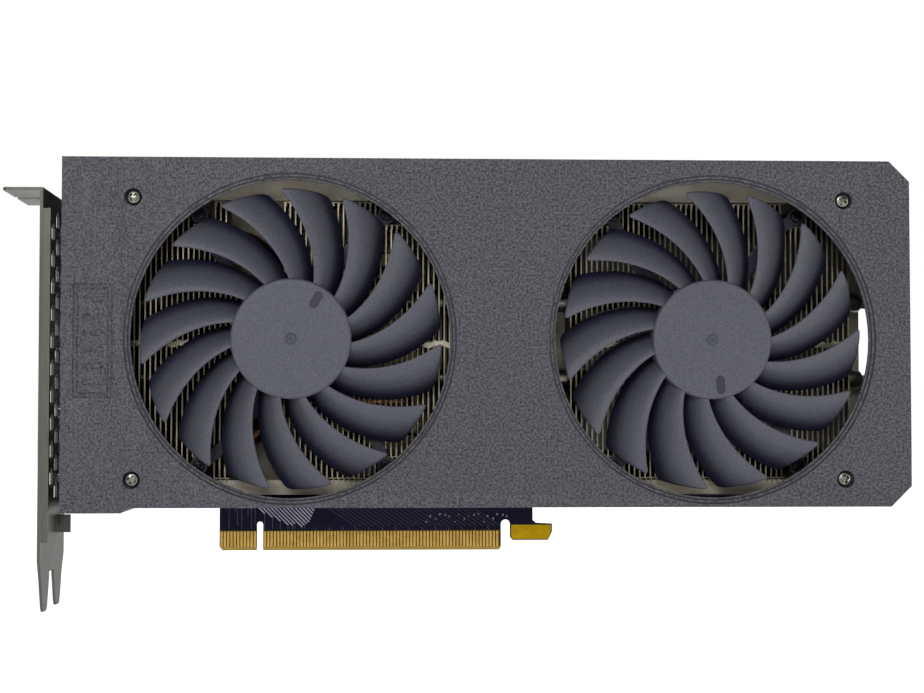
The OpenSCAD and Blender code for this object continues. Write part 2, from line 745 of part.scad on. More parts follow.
// Round tube along the centre line of a bent pipe
module bent_pipe() {
  rings = len(bent_line);
  points = [
    for (c = bent_line) for (k = [0:pipe_sides - 1])
      let (q = 360 * k / pipe_sides, n = c[2] + 90)
        [c[0] + pipe_r * cos(q) * cos(n), pipe_r * sin(q), c[1] + pipe_r * cos(q) * sin(n)]
  ];
  walls = [
    for (j = [0:rings - 2]) for (k = [0:pipe_sides - 1])
      let (p = j * pipe_sides + k, q = j * pipe_sides + (k + 1) % pipe_sides)
        each [[p, q, p + pipe_sides], [q, q + pipe_sides, p + pipe_sides]]
  ];
  first = [for (k = [0:pipe_sides - 1]) pipe_sides - 1 - k];
  last = [for (k = [0:pipe_sides - 1]) (rings - 1) * pipe_sides + k];
  polyhedron(points = points, faces = concat(walls, [first, last]));
}

module heatpipe_bent_top() color([0.72, 0.55, 0.42])
  translate([0, pipe_y, pipe_mid_z + bent_pipe_offset]) bent_pipe();

module heatpipe_bent_bottom() color([0.72, 0.55, 0.42])
  translate([0, pipe_y, pipe_mid_z - bent_pipe_offset]) mirror([0, 0, 1]) bent_pipe();

// ---------- shroud ----------

module shroud_outline() {
  polygon([
    [shroud_left, shroud_foot - lip_drop], [lip_end, shroud_foot - lip_drop],
    [lip_end + lip_slope, shroud_foot], [shroud_right - corner_chamfer, shroud_foot],
    [shroud_right, shroud_foot + corner_chamfer], [shroud_right, shroud_top - corner_chamfer],
    [shroud_right - corner_chamfer, shroud_top], [shroud_left, shroud_top]
  ]);
}

// Hollow behind the shroud's face; the end beside the bracket is open for the warm air
module shroud_hollow() {
  inner = corner_chamfer + shroud_wall * (sqrt(2) - 1);
  polygon([
    [shroud_left - cut, shroud_foot + shroud_wall], [shroud_right - inner, shroud_foot + shroud_wall],
    [shroud_right - shroud_wall, shroud_foot + inner], [shroud_right - shroud_wall, shroud_top - inner],
    [shroud_right - inner, shroud_top - shroud_wall], [shroud_left - cut, shroud_top - shroud_wall]
  ]);
}

// Ring groove, width wide, just inside a rectangle
module ring_outline(x, z, width) {
  difference() {
    translate([x[0], z[0]]) square([x[1] - x[0], z[1] - z[0]]);
    translate([x[0] + width, z[0] + width]) square([x[1] - x[0] - 2 * width, z[1] - z[0] - 2 * width]);
  }
}

// Plain geometric badge: two rings and a row of bars
module badge_outline() {
  bars = 6;
  inset = 2 * badge_ring_gap;
  step = (badge_z[1] - badge_z[0] - 2 * inset) / bars;
  ring_outline(badge_x, badge_z, badge_line);
  ring_outline([badge_x[0] + badge_ring_gap, badge_x[1] - badge_ring_gap],
               [badge_z[0] + badge_ring_gap, badge_z[1] - badge_ring_gap], badge_line);
  for (i = [0:bars - 1])
    translate([badge_x[0] + inset + 0.6, badge_z[0] + inset + step * (i + 0.5) - 0.8])
      square([badge_x[1] - badge_x[0] - 2 * inset - 1.2, 1.6]);
}

module shroud() color([0.36, 0.36, 0.38])
  difference() {
    union() {
      difference() {
        plate(shroud_front, shroud_depth + shroud_back) shroud_outline();
        plate(shroud_front + shroud_wall, shroud_depth) shroud_hollow();
      }
      for (p = corners(shroud_screw_x, shroud_screw_z))
        bar(p[0], shroud_front + shroud_wall / 2, p[1], screw_boss_r,
            post_front - shroud_front - shroud_wall / 2);
    }
    for (x = [fan_x_left, fan_x_right]) {
      bar(x, shroud_front - cut, fan_z, opening_r, shroud_wall + 2 * cut);
      bar(x, shroud_front - cut, fan_z, opening_r + 0.8, 2 * rim_step + cut);
      bar(x, shroud_front - cut, fan_z, opening_r + 1.8, rim_step + cut);
    }
    for (p = corners(shroud_screw_x, shroud_screw_z)) {
      bar(p[0], shroud_front - cut, p[1], shroud_head_r + 0.4, screw_seat - shroud_front + cut);
      bar(p[0], screw_seat - cut, p[1], shroud_screw_r + 0.2, post_front - screw_seat + 2 * cut);
    }
    plate(shroud_front - cut, cut + badge_depth) badge_outline();
    block([socket_low_x - 1.6, -socket_y - 1.6, shroud_top - shroud_wall - cut],
          [socket_low_x + socket_w + 1.6, cut, shroud_top + cut]);
  }

module shroud_screws() color([0.60, 0.60, 0.58])
  for (p = corners(shroud_screw_x, shroud_screw_z))
    screw(p[0], screw_seat, p[1], 1, shroud_screw_r, post_front - screw_seat + 6, shroud_head_r, 1.6);

// ---------- sockets ----------

// Outline in Y and Z of the port at place, counted from the slot, grown by extra
module port_outline(place, extra) {
  width = place == narrow_place ? narrow_w : wide_w;
  height = place == narrow_place ? narrow_h : wide_h;
  z = port_foot + port_pitch * place;
  slant = 1.8;
  polygon([
    [port_back - height - extra, z - width / 2 - extra], [port_back + extra, z - width / 2 - extra],
    [port_back + extra, z + width / 2 - slant + extra],
    [port_back - slant + extra, z + width / 2 + extra], [port_back - height - extra, z + width / 2 + extra]
  ]);
}

// Metal shell of a port: an open mouth, a closed back, and feet down to the board
module port_shell(place) {
  z = port_foot + port_pitch * place;
  difference() {
    side_plate(port_outer, port_depth) port_outline(place, 0);
    side_plate(port_outer - cut, port_depth - port_skin + cut) port_outline(place, -port_skin);
  }
  for (s = [-1, 1])
    block([port_outer + 6, port_back - port_skin, z + s * 4 - 0.6], [port_outer + 9, 0, z + s * 4 + 0.6]);
}

// Contact tongue inside a port, standing on the shell's back
module port_tongue(place, width) {
  z = port_foot + port_pitch * place;
  height = place == narrow_place ? narrow_h : wide_h;
  middle = port_back - height / 2;
  back = port_outer + port_depth - port_skin;
  block([port_outer + 1.6, middle - 0.5, z - width / 2], [back, middle + 0.5, z + width / 2]);
  block([back - 3, middle - 1.5, z - width / 2 - 0.5], [back, middle + 1.5, z + width / 2 + 0.5]);
}

module wide_video_sockets() color([0.70, 0.71, 0.72]) for (place = [0, 2, 3]) port_shell(place);
module narrow_video_socket() color([0.70, 0.71, 0.72]) port_shell(narrow_place);
module wide_video_tongues() color([0.07, 0.07, 0.08]) for (place = [0, 2, 3]) port_tongue(place, 11.6);
module narrow_video_tongue() color([0.07, 0.07, 0.08]) port_tongue(narrow_place, 10.6);

// Lowest corners, in X and Y, of the chambers of the power socket
function chamber_places() = [
  for (i = [0:3]) for (j = [0, 1])
    [socket_x + chamber_pitch * (i - 1.5) - chamber / 2,
     -socket_y / 2 + chamber_pitch * (j - 0.5) - chamber / 2]
];

module power_socket() color([0.06, 0.06, 0.07]) {
  difference() {
    block([socket_low_x, -socket_y, socket_foot], [socket_low_x + socket_w, 0, socket_top]);
    for (c = chamber_places())
      block([c[0], c[1], socket_top - chamber_depth], [c[0] + chamber, c[1] + chamber, socket_top + cut]);
  }
  block([socket_x - 2.4, -socket_y - 1.2, socket_foot + 3], [socket_x + 2.4, -socket_y, socket_top - 4]);
}

module power_pins() color([0.78, 0.76, 0.68])
  for (c = chamber_places())
    block([c[0] + chamber / 2 - 0.5, c[1] + chamber / 2 - 0.5, socket_top - chamber_depth],
          [c[0] + chamber / 2 + 0.5, c[1] + chamber / 2 + 0.5, socket_top - 2.4]);

function header_places() = [[72, shroud_foot + 11], [63, gpu_z + 34.5]];

// Open four-way sockets for the fans' plugs
module fan_headers() color([0.86, 0.85, 0.80])
  for (p = header_places()) {
    difference() {
      block([p[0] - header_w / 2, -header_depth, p[1] - header_h / 2],
            [p[0] + header_w / 2, 0, p[1] + header_h / 2]);
      block([p[0] - header_w / 2 + header_wall, -header_depth - cut, p[1] - header_h / 2 + header_wall],
            [p[0] + header_w / 2 - header_wall, -1, p[1] + header_h / 2 - header_wall]);
    }
    for (i = [0:3]) {
      pin_x = p[0] + header_pitch * (i - 1.5);
      block([pin_x - 0.25, -header_depth + header_wall, p[1] - 0.25], [pin_x + 0.25, -1, p[1] + 0.25]);
    }
  }

// ---------- fans ----------

function ear_places(x) = corners([x - ear_x, x + ear_x], [fan_z - ear_z, fan_z + ear_z]);
function fan_posts() = concat(ear_places(fan_x_left), ear_places(fan_x_right));

// Studs that carry the fan frames, swaged into the heatsink frame
module fan_standoffs() color([0.55, 0.52, 0.46])
  for (p = fan_posts())
    difference() {
      union() {
        bar(p[0], base_y + base_thickness, p[1], fan_post_r, frame_front - base_y - base_thickness);
        bar(p[0], frame_front, p[1], fan_stud_r, frame_thickness);
      }
      bar(p[0], base_y + base_thickness - cut, p[1], fan_screw_r + slip, 7 + cut);
    }

// One curved arm from the motor base to an ear, in the plane of the frame
module fan_arm(angle) {
  arm_r = 48;
  root = hub_r - 3;
  span = ear_reach - root;
  half = asin(span / 2 / arm_r);
  width = 3.4;
  translate([(root + ear_reach) / 2 * cos(angle), (root + ear_reach) / 2 * sin(angle)])
    rotate(angle) translate([0, -arm_r * cos(half)]) rotate(90 - half)
      intersection() {
        difference() {
          circle(r = arm_r + width / 2);
          circle(r = arm_r - width / 2);
        }
        polygon([[0, 0], [2 * arm_r, 0], [2 * arm_r * cos(2 * half), 2 * arm_r * sin(2 * half)]]);
      }
}

// Motor base with a bearing tube and four arms that end in screw ears
module fan_frame(x) {
  tube_length = 8.4;
  tilt = atan2(ear_z, ear_x);
  difference() {
    translate([x, 0, fan_z]) {
      plate(base_y, base_thickness) {
        circle(r = hub_r - 0.6);
        for (angle = [tilt, 180 - tilt, 180 + tilt, -tilt]) {
          fan_arm(angle);
          translate([ear_reach * cos(angle), ear_reach * sin(angle)]) circle(r = ear_r);
        }
      }
      bar(0, base_y - tube_length, 0, bearing_seat_r, tube_length + cut / 2);
    }
    bar(x, base_y - tube_length - cut, fan_z, bearing_r + slip, tube_length + cut - 0.1);
    for (p = ear_places(x)) bar(p[0], base_y - cut, p[1], fan_screw_r + 0.2, base_thickness + 2 * cut);
  }
}

module fan_frame_left() color([0.10, 0.10, 0.14]) fan_frame(fan_x_left);
module fan_frame_right() color([0.10, 0.10, 0.14]) fan_frame(fan_x_right);

module fan_screws() color([0.14, 0.14, 0.16])
  for (p = fan_posts()) screw(p[0], base_y, p[1], 1, fan_screw_r, base_thickness + 6, 1.7, 1.1);

// Laminated core with nine slots between its winding teeth
module fan_stator(x) {
  core_r = hub_r - 3.4;
  teeth = 9;
  length = 5.4;
  front = base_y - 7.6;
  difference() {
    bar(x, front, fan_z, core_r, length);
    bar(x, front - cut, fan_z, bearing_seat_r + slip, length + 2 * cut);
    translate([x, 0, fan_z]) for (i = [0:teeth - 1]) rotate([0, i * 360 / teeth, 0]) {
      block([core_r - 2, front - cut, -0.7], [core_r + cut, front + length + cut, 0.7]);
      bar(core_r - 4.2, front - cut, 0, 2, length + 2 * cut);
    }
  }
}

module fan_stator_left() color([0.60, 0.36, 0.20]) fan_stator(fan_x_left);
module fan_stator_right() color([0.60, 0.36, 0.20]) fan_stator(fan_x_right);

module fan_bearing(x) {
  length = 7.6;
  front = base_y - 8;
  difference() {
    bar(x, front, fan_z, bearing_r, length);
    bar(x, front - cut, fan_z, shaft_r + running, length + 2 * cut);
  }
}

module fan_bearing_left() color([0.72, 0.58, 0.30]) fan_bearing(fan_x_left);
module fan_bearing_right() color([0.72, 0.58, 0.30]) fan_bearing(fan_x_right);

module fan_shaft(x) { bar(x, shaft_front, fan_z, shaft_r, base_y - 0.8 - shaft_front); }
module fan_shaft_left() color([0.80, 0.80, 0.82]) fan_shaft(fan_x_left);
module fan_shaft_right() color([0.80, 0.80, 0.82]) fan_shaft(fan_x_right);

// Ring magnet held inside the hub's wall
module fan_magnet(x) {
  length = 6.8;
  front = shroud_front + 3.4;
  outer = hub_r - hub_wall;
  difference() {
    bar(x, front, fan_z, outer, length);
    bar(x, front - cut, fan_z, outer - 1.3, length + 2 * cut);
  }
}

module fan_magnet_left() color([0.25, 0.24, 0.23]) fan_magnet(fan_x_left);
module fan_magnet_right() color([0.25, 0.24, 0.23]) fan_magnet(fan_x_right);

// Cup-shaped hub about the Y axis; heights in the profile run forwards
module hub_cup() {
  face = shroud_depth - hub_face;
  top = shroud_depth - hub_top;
  inner = face - hub_skin;
  bore_end = -shaft_front;
  rim = shroud_depth - hub_depth;
  boss = 1.1;
  rotate([90, 0, 0]) rotate_extrude($fn = 96)
    polygon([
      [shaft_r, inner - boss], [shaft_r + 2.2, inner - boss], [shaft_r + 2.2, inner],
      [hub_r - hub_wall, inner], [hub_r - hub_wall, rim], [hub_r, rim], [hub_r, face - 0.8],
      [hub_r - 0.8, face], [1.3, face], [1.1, top], [0, top], [0, bore_end], [shaft_r, bore_end]
    ]);
}

// Point of a blade at share s of its width, from its deep edge to its front edge, and share t of
// its radius; side 0 is the front surface and side 1 the back
function blade_r(s, t) = blade_root_r + t * (tip_r - tip_bow * pow(abs(2 * s - 1), 6) - blade_root_r);
function blade_width(r) = blade_pitch - 0.3 - blade_taper * (r - hub_r);
function blade_rise(s) = blade_back - (blade_back - blade_front) * sin(90 * s);
function blade_slope(s, r) =
  -(blade_back - blade_front) * (PI / 2) * cos(90 * s) / (blade_width(r) * PI / 180 * r);
function blade_point(s, t, side) =
  let (
    r = blade_r(s, t),
    m = blade_slope(s, r),
    shift = side * blade_thickness / sqrt(1 + m * m),
    a = blade_sweep * (r - hub_r) + s * blade_width(r) - shift * m / r * 180 / PI,
    y = shroud_front + blade_rise(s) + shift
  )
  [r * cos(a), y, r * sin(a)];

module blade() {
  columns = blade_columns + 1;
  sheet = columns * (blade_rows + 1);
  points = [
    for (side = [0, 1]) for (j = [0:blade_rows]) for (i = [0:blade_columns])
      blade_point(i / blade_columns, j / blade_rows, side)
  ];
  front = [
    for (j = [0:blade_rows - 1]) for (i = [0:blade_columns - 1])
      let (p = j * columns + i) each [[p, p + 1, p + columns], [p + 1, p + columns + 1, p + columns]]
  ];
  back = [for (f = front) [f[2] + sheet, f[1] + sheet, f[0] + sheet]];
  rim = concat(
    [for (i = [0:blade_columns]) i],
    [for (j = [1:blade_rows]) j * columns + blade_columns],
    [for (i = [1:blade_columns]) blade_rows * columns + blade_columns - i],
    [for (j = [1:blade_rows - 1]) (blade_rows - j) * columns]
  );
  wall = [
    for (k = [0:len(rim) - 1])
      let (p = rim[k], q = rim[(k + 1) % len(rim)]) each [[q, p, p + sheet], [q, p + sheet, q + sheet]]
  ];
  polyhedron(points = points, faces = concat(front, back, wall));
}

// Hub and blades in one moulding, the first blade's root at angle phase
module fan_rotor(x, phase) {
  translate([x, 0, fan_z]) {
    hub_cup();
    for (i = [0:blade_count - 1]) rotate([0, -(phase + i * blade_pitch), 0]) blade();
  }
}

module fan_rotor_left() color([0.33, 0.34, 0.38]) fan_rotor(fan_x_left, 21);
module fan_rotor_right() color([0.33, 0.34, 0.38]) fan_rotor(fan_x_right, 3);

// ---------- nodes ----------

bracket();
bracket_screws();
circuit_board();
edge_fingers();
hook_plating();
backplate();
backplate_screws();
backplate_spacers();
shroud();
shroud_screws();
heatsink_frame();
fin_stack_left();
fin_stack_right();
fin_clips_left();
fin_clips_right();
heatpipe_upper();
heatpipe_lower();
heatpipe_bent_top();
heatpipe_bent_bottom();
cold_plate();
gpu_package();
gpu_die();
memory_chips();
thermal_pads();
power_chokes();
power_stages();
capacitors();
small_chips();
retention_plate();
gpu_screws();
spring_washers();
power_socket();
power_pins();
wide_video_sockets();
wide_video_tongues();
narrow_video_socket();
narrow_video_tongue();
fan_headers();
fan_standoffs();
fan_frame_left();
fan_frame_right();
fan_screws();
fan_stator_left();
fan_stator_right();
fan_bearing_left();
fan_bearing_right();
fan_shaft_left();
fan_shaft_right();
fan_magnet_left();
fan_magnet_right();
fan_rotor_left();
fan_rotor_right();
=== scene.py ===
"""Looks of a two-slot graphics card with two fans, built round its CAD frame.

Every length is in metres. X runs along the card away from the bracket, Y from the fans towards the
back of the board, and Z up from the slot.
"""

import json
import math

import bmesh
import bpy
from mathutils import Matrix, Vector


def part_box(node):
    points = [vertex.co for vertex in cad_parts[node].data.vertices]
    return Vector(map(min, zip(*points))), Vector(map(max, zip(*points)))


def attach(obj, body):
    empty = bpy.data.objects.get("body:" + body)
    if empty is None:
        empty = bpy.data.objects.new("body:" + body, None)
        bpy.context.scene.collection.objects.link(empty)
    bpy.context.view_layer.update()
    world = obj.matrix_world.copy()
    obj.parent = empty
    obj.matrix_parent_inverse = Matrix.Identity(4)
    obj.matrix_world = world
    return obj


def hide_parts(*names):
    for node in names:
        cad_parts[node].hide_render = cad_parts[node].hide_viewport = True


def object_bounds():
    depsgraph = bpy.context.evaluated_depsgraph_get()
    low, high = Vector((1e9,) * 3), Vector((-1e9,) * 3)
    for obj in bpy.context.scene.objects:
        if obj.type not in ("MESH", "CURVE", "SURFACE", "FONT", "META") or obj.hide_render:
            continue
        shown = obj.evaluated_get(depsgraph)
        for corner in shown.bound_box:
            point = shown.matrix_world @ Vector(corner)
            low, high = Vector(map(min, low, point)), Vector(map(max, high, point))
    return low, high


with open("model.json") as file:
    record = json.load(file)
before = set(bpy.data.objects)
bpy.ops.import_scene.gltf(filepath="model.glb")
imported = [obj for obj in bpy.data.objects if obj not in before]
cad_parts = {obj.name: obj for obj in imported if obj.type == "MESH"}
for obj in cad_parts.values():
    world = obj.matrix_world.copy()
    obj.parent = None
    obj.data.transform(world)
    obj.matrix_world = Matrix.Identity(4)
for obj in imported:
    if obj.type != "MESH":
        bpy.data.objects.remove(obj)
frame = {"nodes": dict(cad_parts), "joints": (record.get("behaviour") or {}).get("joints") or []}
cad_low, cad_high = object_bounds()

MM = 0.001
CARD = "card"
SIDES = ("left", "right")

# ---------- places read from the frame ----------

joint_place = {joint["child"]: Vector(joint["pos_m"]) for joint in frame["joints"]}
fan_x = {side: joint_place["fan_" + side].x for side in SIDES}
fan_z = joint_place["fan_left"].z
shroud_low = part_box("shroud")[0]
face_y = shroud_low.y
board_low, board_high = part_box("circuit_board")
board_front = board_low.y
board_back = board_high.y
finger_low, finger_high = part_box("edge_fingers")
magnet_low, magnet_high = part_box("fan_magnet_left")
rotor_low, rotor_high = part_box("fan_rotor_left")
hub_wall = 1.54 * MM
hub_r = (magnet_high.x - magnet_low.x) / 2 + hub_wall
tip_r = (rotor_high.x - rotor_low.x) / 2
tip_gap = 2.18 * MM
# radii of painted shade rings in the shroud's grooves round each fan opening
rim_steps = (0.7 * MM, 1.7 * MM)
rim_shade_rings = [(fan_x[side], fan_z, tip_r + tip_gap + step) for side in SIDES for step in rim_steps]


# ---------- shader helpers ----------

def srgb(red, green, blue):
    """A colour in the shader's linear light, from its screen levels."""
    def linear(level):
        share = level / 255
        return share / 12.92 if share <= 0.04045 else ((share + 0.055) / 1.055) ** 2.4
    return (linear(red), linear(green), linear(blue), 1.0)


def scaled(colour, gain):
    """The same colour, lighter or darker."""
    return (colour[0] * gain, colour[1] * gain, colour[2] * gain, 1.0)


def add_node(tree, kind, inputs=None, **settings):
    """A node with its settings made, and its inputs set or linked."""
    made = tree.nodes.new(kind)
    for name, value in settings.items():
        setattr(made, name, value)
    for name, value in (inputs or {}).items():
        if isinstance(value, bpy.types.NodeSocket):
            tree.links.new(value, made.inputs[name])
        else:
            made.inputs[name].default_value = value
    return made


class Finish:
    """One procedural material: a Principled shader and the patterns that feed it."""

    def __init__(self, name, roughness=0.5, metallic=0.0, **shader_inputs):
        self.material = bpy.data.materials.new(name)
        self.material.use_nodes = True
        self.tree = self.material.node_tree
        self.shader = self.tree.nodes["Principled BSDF"]
        self.shader.inputs["Roughness"].default_value = roughness
        self.shader.inputs["Metallic"].default_value = metallic
        for socket, value in shader_inputs.items():
            self.shader.inputs[socket.replace("_", " ")].default_value = value
        self.place = self.add("ShaderNodeTexCoord").outputs["Object"]

    def add(self, kind, inputs=None, **settings):
        return add_node(self.tree, kind, inputs, **settings)

    def stretched(self, stretch):
        """Object coordinates, scaled on each axis."""
        return self.add("ShaderNodeMapping", {"Vector": self.place, "Scale": stretch}).outputs[0]

    def noise(self, size, detail=2.0, stretch=(1, 1, 1)):
        """Soft random pattern whose patches are about size across."""
        return self.add("ShaderNodeTexNoise", {
            "Vector": self.stretched(stretch), "Scale": 1 / size, "Detail": detail,
        }).outputs["Fac"]

    def cells(self, size, stretch=(1, 1, 1)):
        """Distance to the middle of random cells about size across."""
        return self.add("ShaderNodeTexVoronoi", {
            "Vector": self.stretched(stretch), "Scale": 1 / size,
        }).outputs["Distance"]

    def axis(self, name):
        """One object coordinate, in metres."""
        return self.add("ShaderNodeSeparateXYZ", {0: self.place}).outputs[name]

    def spread(self, value, low, high, start=0.35, end=0.65, smooth=False):
        """value, taken from start..end to low..high."""
        return self.add("ShaderNodeMapRange", {
            "Value": value, "From Min": start, "From Max": end, "To Min": low, "To Max": high,
        }, interpolation_type="SMOOTHSTEP" if smooth else "LINEAR").outputs["Result"]

    def calculate(self, operation, first, second):
        return self.add("ShaderNodeMath", {0: first, 1: second}, operation=operation).outputs[0]

    def on_circle(self, x, z, radius, reach):
        """1 on a circle about Y, falling to 0 at reach from it."""
        across = self.calculate("SUBTRACT", self.axis("X"), x)
        up = self.calculate("SUBTRACT", self.axis("Z"), z)
        far = self.calculate("SQRT", self.calculate("ADD", self.calculate("MULTIPLY", across, across),
                                                    self.calculate("MULTIPLY", up, up)), 0.0)
        off = self.calculate("ABSOLUTE", self.calculate("SUBTRACT", far, radius), 0.0)
        return self.spread(off, 1.0, 0.0, reach * 0.4, reach)

    def mix(self, share, first, second):
        """Blend of two colours."""
        return self.add("ShaderNodeMix", {0: share, 6: first, 7: second}, data_type="RGBA").outputs[2]

    def finished(self, colour, roughness, *bumps):
        """The material, with its bumps given as pairs of height pattern and depth in metres."""
        self.tree.links.new(colour, self.shader.inputs["Base Color"])
        self.tree.links.new(roughness, self.shader.inputs["Roughness"])
        normal = None
        for height, depth in bumps:
            inputs = {"Height": height, "Distance": depth, "Strength": 1.0}
            if normal is not None:
                inputs["Normal"] = normal
            normal = self.add("ShaderNodeBump", inputs).outputs["Normal"]
        self.tree.links.new(normal, self.shader.inputs["Normal"])
        return self.material


# ---------- finishes ----------

def edge_wear_and_highlight(material, gain):
    """A copy of a finish for edges, made lighter: partly wear from handling, partly a painted highlight along
    the edges.
    """
    made = material.copy()
    made.name = material.name + "_edge"
    tree = made.node_tree
    colour_in = tree.nodes["Principled BSDF"].inputs["Base Color"]
    plain = colour_in.links[0].from_socket
    lighter = add_node(tree, "ShaderNodeMix", {0: 1.0, 6: plain, 7: (gain, gain, gain, 1.0)},
                       data_type="RGBA", blend_type="MULTIPLY").outputs[2]
    tree.links.new(lighter, colour_in)
    return made


def moulded_plastic(name, colour, grain=0.8 * MM, depth=0.05 * MM, roughness=0.5, speckle=0.34,
                    painted_shade_rings=(), line_reach=0.32 * MM, **shader_inputs):
    """Moulded plastic with a fine spark-eroded grain, and painted shade on circles given as (x, z, radius),
    for the shadow in grooves.
    """
    made = Finish(name, roughness, **shader_inputs)
    fine = made.noise(grain, 2.0)
    coarse = made.noise(grain * 3.1, 1.0)
    patches = made.noise(38 * MM, 3.0)
    base = made.mix(made.spread(fine, 0.0, 1.0, 0.36, 0.64),
                    scaled(colour, 1 - speckle), scaled(colour, 1 + speckle))
    base = made.mix(made.spread(patches, 0.0, 0.1), base, scaled(colour, 0.86))
    # painted shade: dark rings where the grooves round the fan openings fall into shadow
    for x, z, radius in painted_shade_rings:
        base = made.mix(made.on_circle(x, z, radius, line_reach), base, scaled(colour, 0.3))
    return made.finished(base, made.spread(coarse, roughness - 0.07, roughness + 0.09),
                         (fine, depth), (coarse, depth * 0.3))


def blade_plastic(name, colour, painted_shade_colour, front, back):
    """The fans' plastic, with painted shade darkening the deep side of each blade, and small painted glints.
    """
    made = Finish(name, 0.5)
    fine = made.noise(0.4 * MM, 2.0)
    mottle = made.noise(0.8 * MM, 2.0)
    patches = made.noise(24 * MM, 2.0)
    base = made.mix(made.spread(fine, 0.0, 1.0, 0.3, 0.7), scaled(colour, 0.72), scaled(colour, 1.28))
    base = made.mix(made.spread(patches, 0.0, 0.2), base, scaled(colour, 0.8))
    # painted shade: the blade darkens with depth in Y towards its deep side, its edge broken by the mottle
    depth = made.calculate("ADD", made.axis("Y"), made.spread(mottle, -0.5 * MM, 0.5 * MM, 0.3, 0.7))
    base = made.mix(made.spread(depth, 0.0, 0.95, front, back, smooth=True), base, painted_shade_colour)
    glints = made.spread(made.cells(1.9 * MM), 0.9, 0.0, 0.0, 0.06)
    base = made.mix(glints, base, scaled(colour, 2.3))
    return made.finished(base, made.spread(mottle, 0.4, 0.56), (fine, 0.035 * MM), (mottle, 0.03 * MM))


def brushed_metal(name, colour, stretch, roughness=0.34, grain=0.16 * MM, contrast=0.14, anisotropic=0.4):
    """Sheet metal with long fine brush lines; stretch is small along the lines."""
    made = Finish(name, roughness, 1.0, Anisotropic=anisotropic)
    lines = made.noise(grain, 2.0, stretch)
    patches = made.noise(21 * MM, 3.0)
    base = made.mix(made.spread(lines, 0.0, 1.0, 0.3, 0.7),
                    scaled(colour, 1 - contrast), scaled(colour, 1 + contrast))
    base = made.mix(made.spread(patches, 0.0, 0.35), base, scaled(colour, 0.78))
    return made.finished(base, made.spread(lines, roughness - 0.08, roughness + 0.1),
                         (lines, 0.012 * MM), (patches, 0.03 * MM))


def satin_metal(name, colour, roughness=0.42, pit=0.22 * MM, tarnish=None, metallic=1.0):
    """Tumbled or cast metal with fine pits and cloudy tarnish."""
    made = Finish(name, roughness, metallic)
    pits = made.noise(pit, 3.0)
    clouds = made.noise(9 * MM, 4.0)
    dark = tarnish or scaled(colour, 0.66)
    base = made.mix(made.spread(pits, 0.0, 1.0, 0.3, 0.7), scaled(colour, 0.9), scaled(colour, 1.08))
    base = made.mix(made.spread(clouds, 0.0, 0.6, 0.4, 0.7), base, dark)
    return made.finished(base, made.spread(clouds, roughness - 0.07, roughness + 0.12), (pits, 0.012 * MM))


def fin_sheet(name, colour, painted_shade_colour, front, depth):
    """Stamped fin sheet: bare along its sheared front edge, and darkened further in by painted shade between
    the fins.
    """
    made = Finish(name, 0.36, 1.0)
    streaks = made.noise(0.5 * MM, 3.0, (1, 1, 0.12))
    clouds = made.noise(7 * MM, 3.0)
    base = made.mix(made.spread(streaks, 0.0, 1.0, 0.3, 0.7), scaled(colour, 0.82), scaled(colour, 1.1))
    # painted shade between the fins, clouded, taking over behind the bare front edge
    inner = made.mix(made.spread(clouds, 0.0, 1.0, 0.35, 0.7), painted_shade_colour, scaled(painted_shade_colour, 0.45))
    base = made.mix(made.spread(made.axis("Y"), 0.0, 1.0, front + depth * 0.15, front + depth), base, inner)
    return made.finished(base, made.spread(streaks, 0.3, 0.48), (streaks, 0.01 * MM))


def heat_pipe(name, colour, tarnish):
    """Drawn copper tube with draw lines along it and heat tint."""
    made = Finish(name, 0.3, 1.0)
    lines = made.noise(0.3 * MM, 2.0, (0.04, 1, 1))
    tint = made.noise(12 * MM, 3.0, (0.5, 1, 1))
    spots = made.noise(1.6 * MM, 3.0)
    base = made.mix(made.spread(lines, 0.0, 1.0, 0.3, 0.7), scaled(colour, 0.88), scaled(colour, 1.08))
    base = made.mix(made.spread(tint, 0.0, 0.85, 0.38, 0.66), base, tarnish)
    base = made.mix(made.spread(spots, 0.0, 0.5, 0.58, 0.72), base, scaled(tarnish, 0.5))
    return made.finished(base, made.spread(spots, 0.24, 0.42), (lines, 0.01 * MM), (spots, 0.012 * MM))


def plated_gold(name, colour, shade, roughness=0.3):
    """Hard gold with fine wipe marks from the slot's springs."""
    made = Finish(name, roughness, 1.0)
    wipes = made.noise(0.12 * MM, 2.0, (1, 1, 0.08))
    clouds = made.noise(3.2 * MM, 3.0)
    base = made.mix(made.spread(wipes, 0.0, 1.0, 0.3, 0.7), scaled(colour, 0.86), scaled(colour, 1.1))
    base = made.mix(made.spread(clouds, 0.0, 0.5), base, shade)
    return made.finished(base, made.spread(wipes, roughness - 0.06, roughness + 0.12), (wipes, 0.006 * MM))


